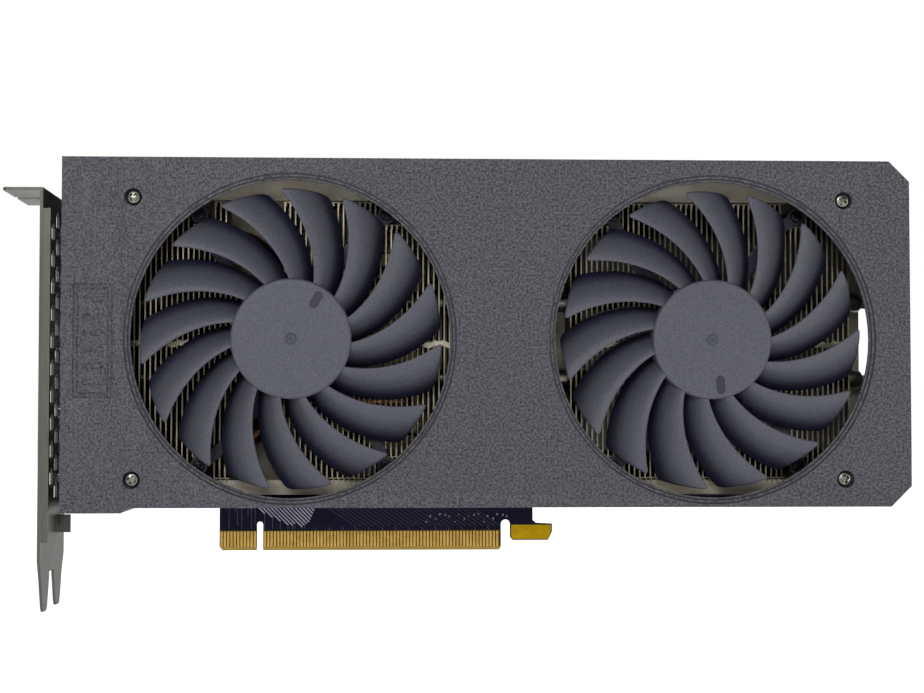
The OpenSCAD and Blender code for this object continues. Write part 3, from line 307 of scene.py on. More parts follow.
def board_laminate(name, mask, laminate, bare_below, bare_left, bare_right):
    """Dark solder mask over woven laminate, which is left bare behind the gold fingers."""
    made = Finish(name, 0.5, Specular_IOR_Level=0.14)
    weave_x = made.add("ShaderNodeTexWave", {
        "Vector": made.place, "Scale": 1 / (3.4 * MM), "Distortion": 1.2}, bands_direction="X").outputs["Fac"]
    weave_z = made.add("ShaderNodeTexWave", {
        "Vector": made.place, "Scale": 1 / (3.4 * MM), "Distortion": 1.2}, bands_direction="Z").outputs["Fac"]
    weave = made.calculate("MULTIPLY", weave_x, weave_z)
    grain = made.noise(0.4 * MM, 2.0)
    pour = made.spread(made.noise(16 * MM, 1.0), 0.0, 1.0, 0.49, 0.51)
    covered = made.mix(pour, mask, scaled(mask, 1.45))
    covered = made.mix(made.spread(grain, 0.0, 0.3), covered, scaled(mask, 0.6))
    woven = made.mix(made.spread(weave, 0.0, 1.0, 0.1, 0.6), scaled(laminate, 0.72), laminate)
    woven = made.mix(made.spread(grain, 0.0, 0.35), woven, scaled(laminate, 0.55))
    low = made.calculate("LESS_THAN", made.axis("Z"), bare_below)
    left = made.calculate("GREATER_THAN", made.axis("X"), bare_left)
    right = made.calculate("LESS_THAN", made.axis("X"), bare_right)
    bare = made.calculate("MULTIPLY", low, made.calculate("MULTIPLY", left, right))
    return made.finished(made.mix(bare, covered, woven), made.spread(grain, 0.42, 0.58),
                         (weave, 0.012 * MM), (grain, 0.008 * MM))


def bare_laminate(name, colour):
    """Ground edge of the board: resin with cut glass bundles in it."""
    made = Finish(name, 0.55)
    bundles = made.noise(0.35 * MM, 3.0, (0.2, 1, 1))
    base = made.mix(made.spread(bundles, 0.0, 1.0, 0.3, 0.7), scaled(colour, 0.75), scaled(colour, 1.15))
    return made.finished(base, made.spread(bundles, 0.45, 0.65), (bundles, 0.01 * MM))


def chip_body(name, colour, roughness=0.48, grain=0.2 * MM):
    """Filled epoxy or ferrite with a fine sparkle."""
    made = Finish(name, roughness)
    fine = made.noise(grain, 3.0)
    smear = made.noise(4 * MM, 3.0)
    base = made.mix(made.spread(fine, 0.0, 1.0, 0.3, 0.7), scaled(colour, 0.75), scaled(colour, 1.3))
    base = made.mix(made.spread(smear, 0.0, 0.3), base, scaled(colour, 1.5))
    return made.finished(base, made.spread(smear, roughness - 0.1, roughness + 0.1), (fine, 0.012 * MM))


def wound_copper(name, colour, gap):
    """Enamelled winding wire, seen as fine ridges round the stator."""
    made = Finish(name, 0.32, 0.6, Coat_Weight=0.5, Coat_Roughness=0.15)
    ridges = made.add("ShaderNodeTexWave", {
        "Vector": made.place, "Scale": 1 / (1.1 * MM), "Distortion": 0.4}, bands_direction="Y").outputs["Fac"]
    clouds = made.noise(2 * MM, 2.0)
    base = made.mix(made.spread(ridges, 0.0, 1.0, 0.1, 0.7), gap, colour)
    base = made.mix(made.spread(clouds, 0.0, 0.4), base, scaled(colour, 0.6))
    return made.finished(base, made.spread(clouds, 0.26, 0.4), (ridges, 0.08 * MM))


finishes = {
    "shroud": moulded_plastic("shroud_grain", srgb(75, 75, 84), 0.62 * MM, 0.04 * MM, 0.52, 0.7, rim_shade_rings),
    # the blade's second colour is painted shade on the deep side of each blade
    "blade": blade_plastic("fan_plastic", srgb(86, 87, 99), srgb(32, 32, 58),
                           face_y + 4.6 * MM, face_y + 9.2 * MM),
    "hub_mark": moulded_plastic("hub_mark_ink", srgb(47, 48, 62), 0.3 * MM, 0.02 * MM, 0.5),
    "fan_frame": moulded_plastic("fan_frame_plastic", srgb(34, 35, 52), 0.4 * MM, 0.02 * MM, 0.42),
    "bracket": brushed_metal("bracket_steel", srgb(106, 105, 101), (1, 1, 0.03), 0.42),
    "port_shell": brushed_metal("socket_shell", srgb(178, 178, 176), (0.05, 1, 1), 0.26),
    "retainer": brushed_metal("spring_steel", srgb(165, 166, 168), (0.05, 1, 1), 0.28),
    "nickel": satin_metal("nickel_screw", srgb(150, 150, 143), 0.26, 0.3 * MM),
    "black_screw": satin_metal("black_screw", srgb(40, 40, 46), 0.3, 0.3 * MM, srgb(24, 24, 28), 0.7),
    "tray": satin_metal("frame_aluminium", srgb(206, 199, 184), 0.42, 0.3 * MM, srgb(158, 147, 128), 0.35),
    "standoff": satin_metal("standoff_steel", srgb(120, 112, 98), 0.34, 0.3 * MM),
    # the fin's second colour is painted shade deeper between the fins
    "fin": fin_sheet("fin_aluminium", srgb(176, 168, 146), srgb(40, 27, 22), face_y + 15 * MM, 2.2 * MM),
    "fin_tab": satin_metal("fin_tab_aluminium", srgb(226, 220, 202), 0.22, 0.2 * MM, srgb(150, 140, 120)),
    "pipe": heat_pipe("pipe_copper", srgb(150, 108, 80), srgb(84, 56, 42)),
    "plated_pipe": heat_pipe("pipe_plating", srgb(196, 192, 180), srgb(120, 112, 98)),
    "cold_plate": satin_metal("plated_copper", srgb(170, 160, 140), 0.3, 0.4 * MM, srgb(128, 104, 80)),
    "finger": plated_gold("contact_gold", srgb(224, 184, 100), srgb(170, 132, 60), 0.34),
    "hook": plated_gold("hook_gold", srgb(204, 166, 26), srgb(170, 134, 8), 0.42),
    "board": board_laminate("board_laminate", srgb(12, 11, 38), srgb(80, 62, 20), finger_high.z + 0.35 * MM,
                            finger_low.x - 1 * MM, finger_high.x + 1 * MM),
    "bevel": bare_laminate("ground_laminate", srgb(170, 140, 52)),
    "trace": satin_metal("mask_over_copper", srgb(170, 171, 186), 0.5, 0.3 * MM, srgb(120, 122, 140), 0.3),
    "faint_trace": satin_metal("mask_over_signal_layer", srgb(76, 76, 92), 0.5, 0.3 * MM,
                               srgb(54, 54, 70), 0.1),
    "deep_trace": satin_metal("mask_over_deep_layer", srgb(24, 24, 42), 0.5, 0.3 * MM, srgb(20, 20, 36), 0.1),
    "backplate": moulded_plastic("backplate_paint", srgb(44, 44, 49), 0.22 * MM, 0.02 * MM, 0.5, 0.12),
    "epoxy": chip_body("chip_epoxy", srgb(36, 36, 39)),
    "ferrite": chip_body("ferrite", srgb(62, 62, 65), 0.6, 0.5 * MM),
    "package": chip_body("package_green", srgb(26, 62, 44), 0.4),
    "silicon": chip_body("silicon", srgb(92, 96, 108), 0.16, 0.9 * MM),
    "pad": chip_body("pad_silicone", srgb(150, 158, 172), 0.72, 0.6 * MM),
    "can": satin_metal("can_aluminium", srgb(200, 200, 202), 0.24, 0.2 * MM),
    "ceramic": chip_body("ceramic_body", srgb(150, 122, 92), 0.4),
    "solder": satin_metal("solder", srgb(205, 205, 206), 0.26, 0.2 * MM),
    "socket": moulded_plastic("socket_nylon", srgb(30, 30, 32), 0.25 * MM, 0.015 * MM, 0.4, 0.15),
    "header": moulded_plastic("header_nylon", srgb(222, 218, 204), 0.25 * MM, 0.012 * MM, 0.4, 0.04,
                              Subsurface_Weight=0.1, Subsurface_Radius=(0.5 * MM, 0.4 * MM, 0.3 * MM)),
    "spacer": moulded_plastic("white_nylon", srgb(226, 226, 218), 0.25 * MM, 0.012 * MM, 0.42, 0.04),
    "pin": satin_metal("tinned_pin", srgb(205, 198, 176), 0.22, 0.2 * MM),
    "winding": wound_copper("winding_copper", srgb(178, 104, 62), srgb(60, 32, 22)),
    "bronze": satin_metal("bearing_bronze", srgb(190, 150, 88), 0.34, 0.12 * MM),
    "shaft": brushed_metal("shaft_steel", srgb(200, 200, 204), (1, 0.04, 1), 0.14, 0.1 * MM, 0.05),
    "magnet": chip_body("magnet_compound", srgb(66, 63, 60), 0.6, 0.3 * MM),
}

# edge copies are lighter: part handling wear, part painted highlight on the broken edges
edge_gain = {"shroud": 1.35, "bracket": 1.5, "backplate": 2.2, "tray": 1.25, "fan_frame": 1.5, "socket": 1.6}
edge_finishes = {name: edge_wear_and_highlight(finish, edge_gain.get(name, 1.2)) for name, finish in finishes.items()}


# ---------- mesh helpers ----------

def new_piece(name, shape, finish, body=CARD):
    """An object at the origin from a bmesh, with its finish, riding on a body."""
    mesh = bpy.data.meshes.new(name)
    shape.to_mesh(mesh)
    shape.free()
    piece = bpy.data.objects.new(name, mesh)
    bpy.context.scene.collection.objects.link(piece)
    piece.data.materials.append(finishes[finish])
    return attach(piece, body)


def settled(piece):
    """The same object with its modifiers worked into a plain mesh."""
    graph = bpy.context.evaluated_depsgraph_get()
    mesh = bpy.data.meshes.new_from_object(piece.evaluated_get(graph), depsgraph=graph)
    piece.modifiers.clear()
    piece.data = mesh
    return piece


def smooth_by_angle(piece, degrees=35):
    """Smooth shading that breaks at edges sharper than the angle."""
    piece.data.shade_smooth()
    piece.data.set_sharp_from_angle(angle=math.radians(degrees))


def node_shape(node):
    """The CAD node's mesh as a bmesh with its points merged and its flat faces joined."""
    shape = bmesh.new()
    shape.from_mesh(frame["nodes"][node].data)
    bmesh.ops.remove_doubles(shape, verts=shape.verts, dist=0.002 * MM)
    bmesh.ops.dissolve_limit(shape, angle_limit=math.radians(0.4), verts=shape.verts, edges=shape.edges)
    return shape


def softened(node, name, finish, width, body=CARD, segments=2):
    """A copy of a CAD node with its sharp edges broken by width, which takes the node's place."""
    piece = new_piece(name, node_shape(node), finish, body)
    bevel = piece.modifiers.new("broken_edges", "BEVEL")
    bevel.width = width
    bevel.segments = segments
    bevel.limit_method = "ANGLE"
    bevel.angle_limit = math.radians(38)
    bevel.use_clamp_overlap = True
    bevel.harden_normals = True
    # bevel faces take the lighter edge copy: wear and painted highlight
    bevel.material = 1
    piece.data.materials.append(edge_finishes[finish])
    smooth_by_angle(piece)
    settled(piece)
    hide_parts(node)
    return piece


def kept(node, finish):
    """A CAD node that stays, with its finish."""
    mesh = frame["nodes"][node].data
    mesh.materials.clear()
    mesh.materials.append(finishes[finish])


def lathe(profile, segments, relief=None):
    """Solid of revolution about Y from (radius, y) points; relief(x, z, y) gives each point its final y."""
    shape = bmesh.new()
    rings = []
    for radius, y in profile:
        count = 1 if radius == 0 else segments
        ring = []
        for k in range(count):
            angle = 2 * math.pi * k / segments
            x = radius * math.cos(angle)
            z = radius * math.sin(angle)
            ring.append(shape.verts.new((x, relief(x, z, y) if relief else y, z)))
        rings.append(ring)
    for first, second in zip(rings, rings[1:]):
        for k in range(segments):
            corners = [first[k % len(first)], first[(k + 1) % len(first)],
                       second[(k + 1) % len(second)], second[k % len(second)]]
            unique = list(dict.fromkeys(corners))
            if len(unique) > 2:
                shape.faces.new(unique)
    bmesh.ops.recalc_face_normals(shape, faces=shape.faces)
    return shape


def arc(centre, radius, start, end, steps):
    """Points (r, y) of an arc about centre, with angles in degrees."""
    points = []
    for k in range(steps + 1):
        angle = math.radians(start + (end - start) * k / steps)
        points.append((centre[0] + radius * math.cos(angle), centre[1] + radius * math.sin(angle)))
    return points


def prism(shape, outline, y_low, y_high):
    """Adds to shape the solid between two Y planes over an outline of (x, z) points."""
    front = [shape.verts.new((x, y_low, z)) for x, z in outline]
    back = [shape.verts.new((x, y_high, z)) for x, z in outline]
    faces = [shape.faces.new(front), shape.faces.new(list(reversed(back)))]
    for k in range(len(outline)):
        after = (k + 1) % len(outline)
        faces.append(shape.faces.new((front[k], back[k], back[after], front[after])))
    bmesh.ops.recalc_face_normals(shape, faces=faces)
    return shape


def cuboid(shape, low, high):
    """Adds to shape a box from its lowest to its highest corner."""
    outline = [(low[0], low[2]), (high[0], low[2]), (high[0], high[2]), (low[0], high[2])]
    return prism(shape, outline, low[1], high[1])


def strip(shape, start, end, width, y_low, y_high):
    """Adds to shape a flat line from start to end, which are (x, z) points."""
    along = Vector(end) - Vector(start)
    aside = Vector((-along.y, along.x)).normalized() * width / 2
    corners = [Vector(start) - aside, Vector(end) - aside, Vector(end) + aside, Vector(start) + aside]
    return prism(shape, [tuple(c) for c in corners], y_low, y_high)


# ---------- Geometry Nodes ----------

def new_tree(name, inputs):
    """An empty Geometry Nodes tree with named inputs, and its input and output nodes."""
    tree = bpy.data.node_groups.new(name, "GeometryNodeTree")
    tree.interface.new_socket("Geometry", in_out="INPUT", socket_type="NodeSocketGeometry")
    for label, kind in inputs:
        tree.interface.new_socket(label, in_out="INPUT", socket_type=kind)
    tree.interface.new_socket("Geometry", in_out="OUTPUT", socket_type="NodeSocketGeometry")
    return tree, tree.nodes.new("NodeGroupInput").outputs, tree.nodes.new("NodeGroupOutput").inputs


def close_tree(tree, geometry, finish, outlet):
    """Ends a tree in real geometry with its material."""
    real = add_node(tree, "GeometryNodeRealizeInstances", {"Geometry": geometry}).outputs[0]
    painted = add_node(tree, "GeometryNodeSetMaterial", {"Geometry": real, "Material": finish}).outputs[0]
    tree.links.new(painted, outlet["Geometry"])
    return tree


def parts_on_points():
    """Puts a part on every point of the piece, each turned about Y by a random angle."""
    tree, given, outlet = new_tree("parts_on_points", [
        ("Part", "NodeSocketObject"), ("Facing", "NodeSocketFloat"), ("Largest Turn", "NodeSocketFloat"),
        ("Seed", "NodeSocketInt"), ("Finish", "NodeSocketMaterial")])
    part = add_node(tree, "GeometryNodeObjectInfo", {"Object": given["Part"]}).outputs["Geometry"]
    turn = add_node(tree, "FunctionNodeRandomValue", {
        2: 0.0, 3: given["Largest Turn"], "Seed": given["Seed"]}, data_type="FLOAT").outputs[1]
    angles = add_node(tree, "ShaderNodeCombineXYZ", {"Y": turn, "Z": given["Facing"]}).outputs[0]
    placed = add_node(tree, "GeometryNodeInstanceOnPoints", {
        "Points": given["Geometry"], "Instance": part, "Rotation": angles}).outputs[0]
    return close_tree(tree, placed, given["Finish"], outlet)


def parts_in_row():
    """Repeats a part along a line from Start by Step, with every second one moved by Stagger."""
    tree, given, outlet = new_tree("parts_in_row", [
        ("Part", "NodeSocketObject"), ("Count", "NodeSocketInt"), ("Start", "NodeSocketVector"),
        ("Step", "NodeSocketVector"), ("Stagger", "NodeSocketVector"), ("Finish", "NodeSocketMaterial")])
    part = add_node(tree, "GeometryNodeObjectInfo", {"Object": given["Part"]}).outputs["Geometry"]
    line = add_node(tree, "GeometryNodeMeshLine", {
        "Count": given["Count"], "Start Location": given["Start"], "Offset": given["Step"]}).outputs[0]
    index = add_node(tree, "GeometryNodeInputIndex").outputs[0]
    odd = add_node(tree, "ShaderNodeMath", {0: index, 1: 2.0}, operation="MODULO").outputs[0]
    moved = add_node(tree, "GeometryNodeSetPosition", {
        "Geometry": line, "Selection": odd, "Offset": given["Stagger"]}).outputs[0]
    placed = add_node(tree, "GeometryNodeInstanceOnPoints", {"Points": moved, "Instance": part}).outputs[0]
    return close_tree(tree, placed, given["Finish"], outlet)


def parts_in_ring():
    """Repeats a part about the Y axis through Centre, the first one turned by Phase, round the hub."""
    tree, given, outlet = new_tree("parts_in_ring", [
        ("Part", "NodeSocketObject"), ("Count", "NodeSocketInt"), ("Phase", "NodeSocketFloat"),
        ("Centre", "NodeSocketVector"), ("Finish", "NodeSocketMaterial")])
    part = add_node(tree, "GeometryNodeObjectInfo", {"Object": given["Part"]}).outputs["Geometry"]
    points = add_node(tree, "GeometryNodeMeshLine", {
        "Count": given["Count"], "Offset": (0, 0, 0)}).outputs[0]
    index = add_node(tree, "GeometryNodeInputIndex").outputs[0]
    pitch = add_node(tree, "ShaderNodeMath", {
        0: -2 * math.pi, 1: given["Count"]}, operation="DIVIDE").outputs[0]
    turn = add_node(tree, "ShaderNodeMath", {0: index, 1: pitch}, operation="MULTIPLY").outputs[0]
    turn = add_node(tree, "ShaderNodeMath", {0: turn, 1: given["Phase"]}, operation="SUBTRACT").outputs[0]
    angles = add_node(tree, "ShaderNodeCombineXYZ", {"Y": turn}).outputs[0]
    ring = add_node(tree, "GeometryNodeInstanceOnPoints", {
        "Points": points, "Instance": part, "Rotation": angles}).outputs[0]
    whole = add_node(tree, "GeometryNodeJoinGeometry").inputs[0]
    tree.links.new(ring, whole)
    tree.links.new(given["Geometry"], whole)
    placed = add_node(tree, "GeometryNodeTransform", {
        "Geometry": whole.node.outputs[0], "Translation": given["Centre"]}).outputs[0]
    return close_tree(tree, placed, given["Finish"], outlet)


POINTS_TREE = parts_on_points()
ROW_TREE = parts_in_row()
RING_TREE = parts_in_ring()


def grown(name, tree, base, part, finish, inputs, body=CARD):
    """A plain piece from a tree: base is the bmesh that it works on, and part the bmesh that it repeats."""
    piece = new_piece(name, base, finish, body)
    part_mesh = bpy.data.meshes.new(name + "_part")
    part.to_mesh(part_mesh)
    part.free()
    part_object = bpy.data.objects.new(name + "_part", part_mesh)
    bpy.context.scene.collection.objects.link(part_object)
    modifier = piece.modifiers.new("tree", "NODES")
    modifier.node_group = tree
    values = {"Part": part_object, "Finish": finishes[finish], **inputs}
    for item in tree.interface.items_tree:
        if item.in_out == "INPUT" and item.name in values:
            modifier[item.identifier] = values[item.name]
    settled(piece)
    bpy.data.objects.remove(part_object)
    smooth_by_angle(piece)
    return piece


def scattered(name, places, part, finish, facing=0.0, largest_turn=0.0, seed=1):
    """A piece with one part at every place, facing by an angle about Z and turned at random about Y."""
    points = bmesh.new()
    for place in places:
        points.verts.new(place)
    return grown(name, POINTS_TREE, points, part, finish, {
        "Facing": facing, "Largest Turn": largest_turn, "Seed": seed})


# ---------- shells and sheet parts copied from the frame ----------

def soften_parts():
    """Every CAD part with edges worth breaking, as node, piece, finish, slot and edge width."""
    rows = [
        ("shroud", "shroud_shell", "shroud", "shroud_grain", 0.14 * MM),
        ("bracket", "slot_bracket", "bracket", "bracket_steel", 0.12 * MM),
        ("backplate", "back_cover", "backplate", "backplate_paint", 0.2 * MM),
        ("heatsink_frame", "cooler_tray", "tray", "frame_aluminium", 0.12 * MM),
        ("cold_plate", "cold_plate_block", "cold_plate", "plated_copper", 0.25 * MM),
        ("retention_plate", "retention_cross", "retainer", "spring_steel", 0.1 * MM),
        ("power_chokes", "choke_blocks", "ferrite", "ferrite", 0.35 * MM),
        ("power_stages", "power_stage_chips", "epoxy", "chip_epoxy", 0.08 * MM),
        ("memory_chips", "memory_packages", "epoxy", "chip_epoxy", 0.08 * MM),
        ("small_chips", "controller_chips", "epoxy", "chip_epoxy", 0.08 * MM),
        ("gpu_package", "processor_substrate", "package", "package_green", 0.08 * MM),
        ("power_socket", "power_socket_body", "socket", "socket_nylon", 0.15 * MM),
        ("power_pins", "power_socket_pins", "pin", "tinned_pin", 0.12 * MM),
        ("fan_headers", "fan_header_bodies", "header", "header_nylon", 0.08 * MM),
        ("fan_standoffs", "fan_posts", "standoff", "frame_aluminium", 0.15 * MM),
        ("wide_video_sockets", "wide_port_shells", "port_shell", "socket_shell", 0.08 * MM),
        ("narrow_video_socket", "narrow_port_shell", "port_shell", "socket_shell", 0.08 * MM),
        ("wide_video_tongues", "wide_port_tongues", "socket", "socket_nylon", 0.1 * MM),
        ("narrow_video_tongue", "narrow_port_tongue", "socket", "socket_nylon", 0.1 * MM),
        ("fan_frame_left", "motor_frame_left", "fan_frame", "fan_frame_plastic", 0.25 * MM),
        ("fan_frame_right", "motor_frame_right", "fan_frame", "fan_frame_plastic", 0.25 * MM),
    ]
    for node, name, finish, slot, width in rows:
        softened(node, name, finish, width)


def keep_parts():
    """CAD parts whose shape is right as it is."""
    for node, finish in {
        "edge_fingers": "finger", "hook_plating": "hook", "gpu_die": "silicon", "thermal_pads": "pad",
        "fin_stack_left": "fin", "fin_stack_right": "fin", "spring_washers": "retainer",
        "backplate_spacers": "spacer",
    }.items():
        kept(node, finish)
    for side in SIDES:
        kept("fan_stator_" + side, "winding")
        kept("fan_bearing_" + side, "bronze")
        kept("fan_shaft_" + side, "shaft")
        kept("fan_magnet_" + side, "magnet")


# ---------- board ----------

def make_board():
    """The board, with the foot of its connector ground to a bevel on both faces."""
    bevel_top = finger_low.z
    bevel_cut = 0.34 * MM
    shape = node_shape("circuit_board")
    geometry = list(shape.verts) + list(shape.edges) + list(shape.faces)
    bmesh.ops.bisect_plane(shape, geom=geometry, dist=0.001 * MM,
                           plane_co=(0, 0, bevel_top), plane_no=(0, 0, 1))
    for vert in shape.verts:
        if vert.co.z < bevel_top - 0.01 * MM:
            share = (bevel_top - vert.co.z) / bevel_top
            inwards = bevel_cut if vert.co.y < board_back / 2 else -bevel_cut
            vert.co.y += inwards * share
    bmesh.ops.recalc_face_normals(shape, faces=shape.faces)
    piece = new_piece("printed_board", shape, "board")
    piece.data.materials.append(finishes["bevel"])
    for face in piece.data.polygons:
        on_bevel = face.center.z < bevel_top
        on_hook = face.center.x > finger_high.x + 2 * MM and face.center.z < finger_high.z + 1.5 * MM
        if on_bevel or (on_hook and abs(face.normal.y) < 0.5):
            face.material_index = 1
    smooth_by_angle(piece, 25)
    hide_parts("circuit_board")


TRACE_TOP = shroud_low.z + 2 * MM
TRACE_FOOT = finger_high.z + 0.7 * MM
BUNDLE = 15
BUNDLE_STEP = 1.2 * MM


def bundle_lines():
    """Start and end of each slanted line of the bright bundle, which stops at a leaning edge."""
    start = -2.5 * MM
    edge = 17.6 * MM
    edge_lean = 0.44
    lines = []
    for i in range(BUNDLE):
        x = start + i * BUNDLE_STEP
        stepped = (3.9 + 1.15 * i) * MM
        longest = TRACE_TOP - TRACE_FOOT - (0.6 + 0.5 * (i % 3)) * MM
        drop = min(stepped, longest, (edge - x) / (1 + edge_lean))
        lines.append(((x, TRACE_TOP), (x + drop, TRACE_TOP - drop)))
    return lines


def connector_traces(y_low, y_high):
    """Copper lines that show brightly through the mask on one face of the board."""
    width = 0.42 * MM
    shape = bmesh.new()
    for start, end in bundle_lines():
        strip(shape, start, end, width, y_low, y_high)
    return shape


def faint_lines(y_low, y_high):
    """Signal lines in the deeper layers, and the short runs down to the fingers."""
    shape = bmesh.new()
    uprights = [(-9.25, 1.0), (-7.5, 0.4), (-6.8, 0.9), (-5.5, 1.0), (-3.6, 0.55), (-2.6, 1.0), (-1.45, 0.8)]
    thin = 0.16 * MM
    thick = 0.2 * MM
    for x, share in uprights:
        foot = TRACE_TOP - (TRACE_TOP - TRACE_FOOT) * share
        strip(shape, (x * MM, TRACE_TOP), (x * MM, foot), thin, y_low, y_high)
    for start, end in bundle_lines()[:8]:
        if end[1] > TRACE_FOOT + 0.3 * MM:
            strip(shape, end, (end[0], TRACE_FOOT), thick, y_low, y_high)
    low = finger_high.z + 0.1 * MM
    bend = low + 0.35 * MM
    for i in range(14):
        x = 17 * MM + i * 4 * MM
        strip(shape, (x, low), (x, bend), thick, y_low, y_high)
        strip(shape, (x, bend), (x - 0.5 * MM, TRACE_FOOT + 0.5 * MM), thick, y_low, y_high)
    return shape


def deep_lines(y_low, y_high):
    """Dim slanted lines to the right of the bright bundle."""
    foot = finger_high.z + 1.4 * MM
    lean = 1.5
    first = 17 * MM
    pitch = 1.75 * MM
    width = 0.3 * MM
    shape = bmesh.new()
    for i in range(26):
        x = first + i * pitch
        strip(shape, (x, TRACE_TOP), (x + (TRACE_TOP - foot) * lean, foot), width, y_low, y_high)
    return shape


def via_places(y):
    """Centres of the plated holes near the connector, in short slanted rows."""
    places = []
    for i in range(9):
        x = 50 * MM + i * 2.9 * MM
        places.append(Vector((x, y, finger_high.z + (2.6 + 1.1 * (i % 3)) * MM)))
        places.append(Vector((x + 1.2 * MM, y, finger_high.z + (4.4 + 0.6 * (i % 2)) * MM)))
    return places


def make_traces():
    """Traces and plated holes on both faces of the board."""
    skin = 0.03 * MM
    hole_r = 0.13 * MM
    pad_r = 0.28 * MM
    faces = (("front", board_front - skin, board_front), ("back", board_back, board_back + skin))
    for label, low, high in faces:
        bright = new_piece("copper_lines_" + label, connector_traces(low, high), "trace")
        faint = new_piece("signal_lines_" + label, faint_lines(low, high), "faint_trace")
        deep = new_piece("deep_lines_" + label, deep_lines(low, high), "deep_trace")
        ring = lathe([(hole_r, 0), (hole_r, -skin), (pad_r, -skin), (pad_r, 0), (hole_r, 0)], 14)
        bmesh.ops.remove_doubles(ring, verts=ring.verts, dist=0.001 * MM)
        facing = 0.0 if label == "front" else math.pi
        y = board_front if label == "front" else board_back
        holes = scattered("plated_holes_" + label, via_places(y), ring, "trace", facing, seed=3)


def make_small_capacitors():
    """Ceramic capacitors on the back of the board, in the corner fields of the retention cross."""
    cross_low, cross_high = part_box("retention_plate")
    centre_x = (cross_low.x + cross_high.x) / 2
    centre_z = (cross_low.z + cross_high.z) / 2
    pitch = 3.1 * MM
    reach = 9
    arm_clearance = 11 * MM
    hub_clearance = 17 * MM
    places = []
    for i in range(-reach, reach + 1):
        for j in range(-reach, reach + 1):
            x = i * pitch
            z = j * pitch
            clear_of_cross = abs(abs(x) - abs(z)) > arm_clearance and x * x + z * z > hub_clearance ** 2
            filled = (i * 7 + j * 3) % 5
            if clear_of_cross and filled:
                places.append(Vector((centre_x + x, board_back, centre_z + z)))
    length = 0.8 * MM
    width = 0.85 * MM
    height = 0.8 * MM
    end = 0.35 * MM
    solder_film = 0.03 * MM
    solder_bulge = 0.02 * MM
    body = bmesh.new()
    cuboid(body, (-length / 2, 0, -width / 2), (length / 2, height - solder_film, width / 2))
    caps = bmesh.new()
    for sign in (-1, 1):
        inner = sign * length / 2
        outer = sign * (length / 2 + end)
        half = width / 2 + solder_bulge
        cuboid(caps, (min(inner, outer), 0, -half), (max(inner, outer), height, half))
    bodies = scattered("ceramic_capacitors", places, body, "ceramic", seed=5)
    ends = scattered("ceramic_capacitor_ends", places, caps, "solder", seed=5)


def make_capacitor_cans():
    """Polymer capacitors: a rolled can with a waist, a rounded top and a scored cross."""
    low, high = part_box("capacitors")
    radius = 3.1 * MM
    height = board_front - low.y
    score = 0.12 * MM
    score_depth = 0.08 * MM
    edge_r = 0.45 * MM
    waist_r = radius - 0.22 * MM

    def relief(x, z, y):
        on_line = min(abs(x), abs(z)) < score and max(abs(x), abs(z)) < radius * 0.72
        return y + score_depth if on_line and y < -height + 0.1 * MM else y

    top = [(radius * 0.86 * k / 10, -height) for k in range(11)]
    profile = top + arc((radius - edge_r, -height + edge_r), edge_r, -90, 0, 5)
    profile += [(radius, -1.5 * MM), (waist_r, -1.3 * MM), (waist_r, -1.1 * MM),
                (radius, -0.9 * MM), (radius, -0.35 * MM), (radius - 0.3 * MM, 0), (0, 0)]
    can = lathe(profile, 48, relief)
    places = [Vector((x, board_front, z)) for x, z in solid_centres("capacitors")]
    piece = scattered("capacitor_cans", places, can, "can", largest_turn=2 * math.pi, seed=11)
    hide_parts("capacitors")


def solid_centres(node):
    """Centre in X and Z of every separate solid in a CAD node."""
    shape = bmesh.new()
    shape.from_mesh(frame["nodes"][node].data)
    bmesh.ops.remove_doubles(shape, verts=shape.verts, dist=0.002 * MM)
    centres = []
    unseen = set(shape.verts)
    while unseen:
        group = [unseen.pop()]
        island = list(group)
        while group:
            vert = group.pop()
            for edge in vert.link_edges:
                other = edge.other_vert(vert)
                if other in unseen:
                    unseen.remove(other)
                    group.append(other)
                    island.append(other)
        xs = [v.co.x for v in island]
        zs = [v.co.z for v in island]
        centres.append(((min(xs) + max(xs)) / 2, (min(zs) + max(zs)) / 2))
    shape.free()
    return sorted(centres)


# ---------- screws ----------

def screw_shape(head_r, head_height, shank_r, shank_length, thread=0.5 * MM):
    """A pan-head screw with a cross recess, seated at Y 0 with its head towards -Y."""
    recess = head_height * 0.62
    arm = head_r * 0.17
    reach = head_r * 0.62

    def relief(x, z, y):
        if y > -head_height * 0.55:
            return y
        across = min(abs(x), abs(z))
        along = max(abs(x), abs(z))
        if across < arm and along < reach:
            taper = min(1.0, (reach - along) / (reach * 0.35))
            return y + recess * taper
        return y

    top = []
    rings = 14
    for k in range(rings + 1):
        radius = head_r * 0.8 * k / rings
        dome = 0.16 * head_height * (k / rings) ** 2
        top.append((radius, -head_height + dome))
    profile = top + [
        (head_r * 0.92, -head_height * 0.72), (head_r * 0.98, -head_height * 0.5),
        (head_r, -head_height * 0.25), (head_r * 0.98, -0.02 * MM), (head_r * 0.94, 0), (shank_r, 0)]
    turns = int((shank_length - 0.6 * MM) / thread)
    for k in range(turns):
        start = 0.2 * MM + k * thread
        profile += [(shank_r * 0.84, start), (shank_r, start + thread / 2)]
    profile += [(shank_r * 0.84, shank_length - 0.3 * MM), (shank_r * 0.5, shank_length), (0, shank_length)]
    return lathe(profile, 40, relief)


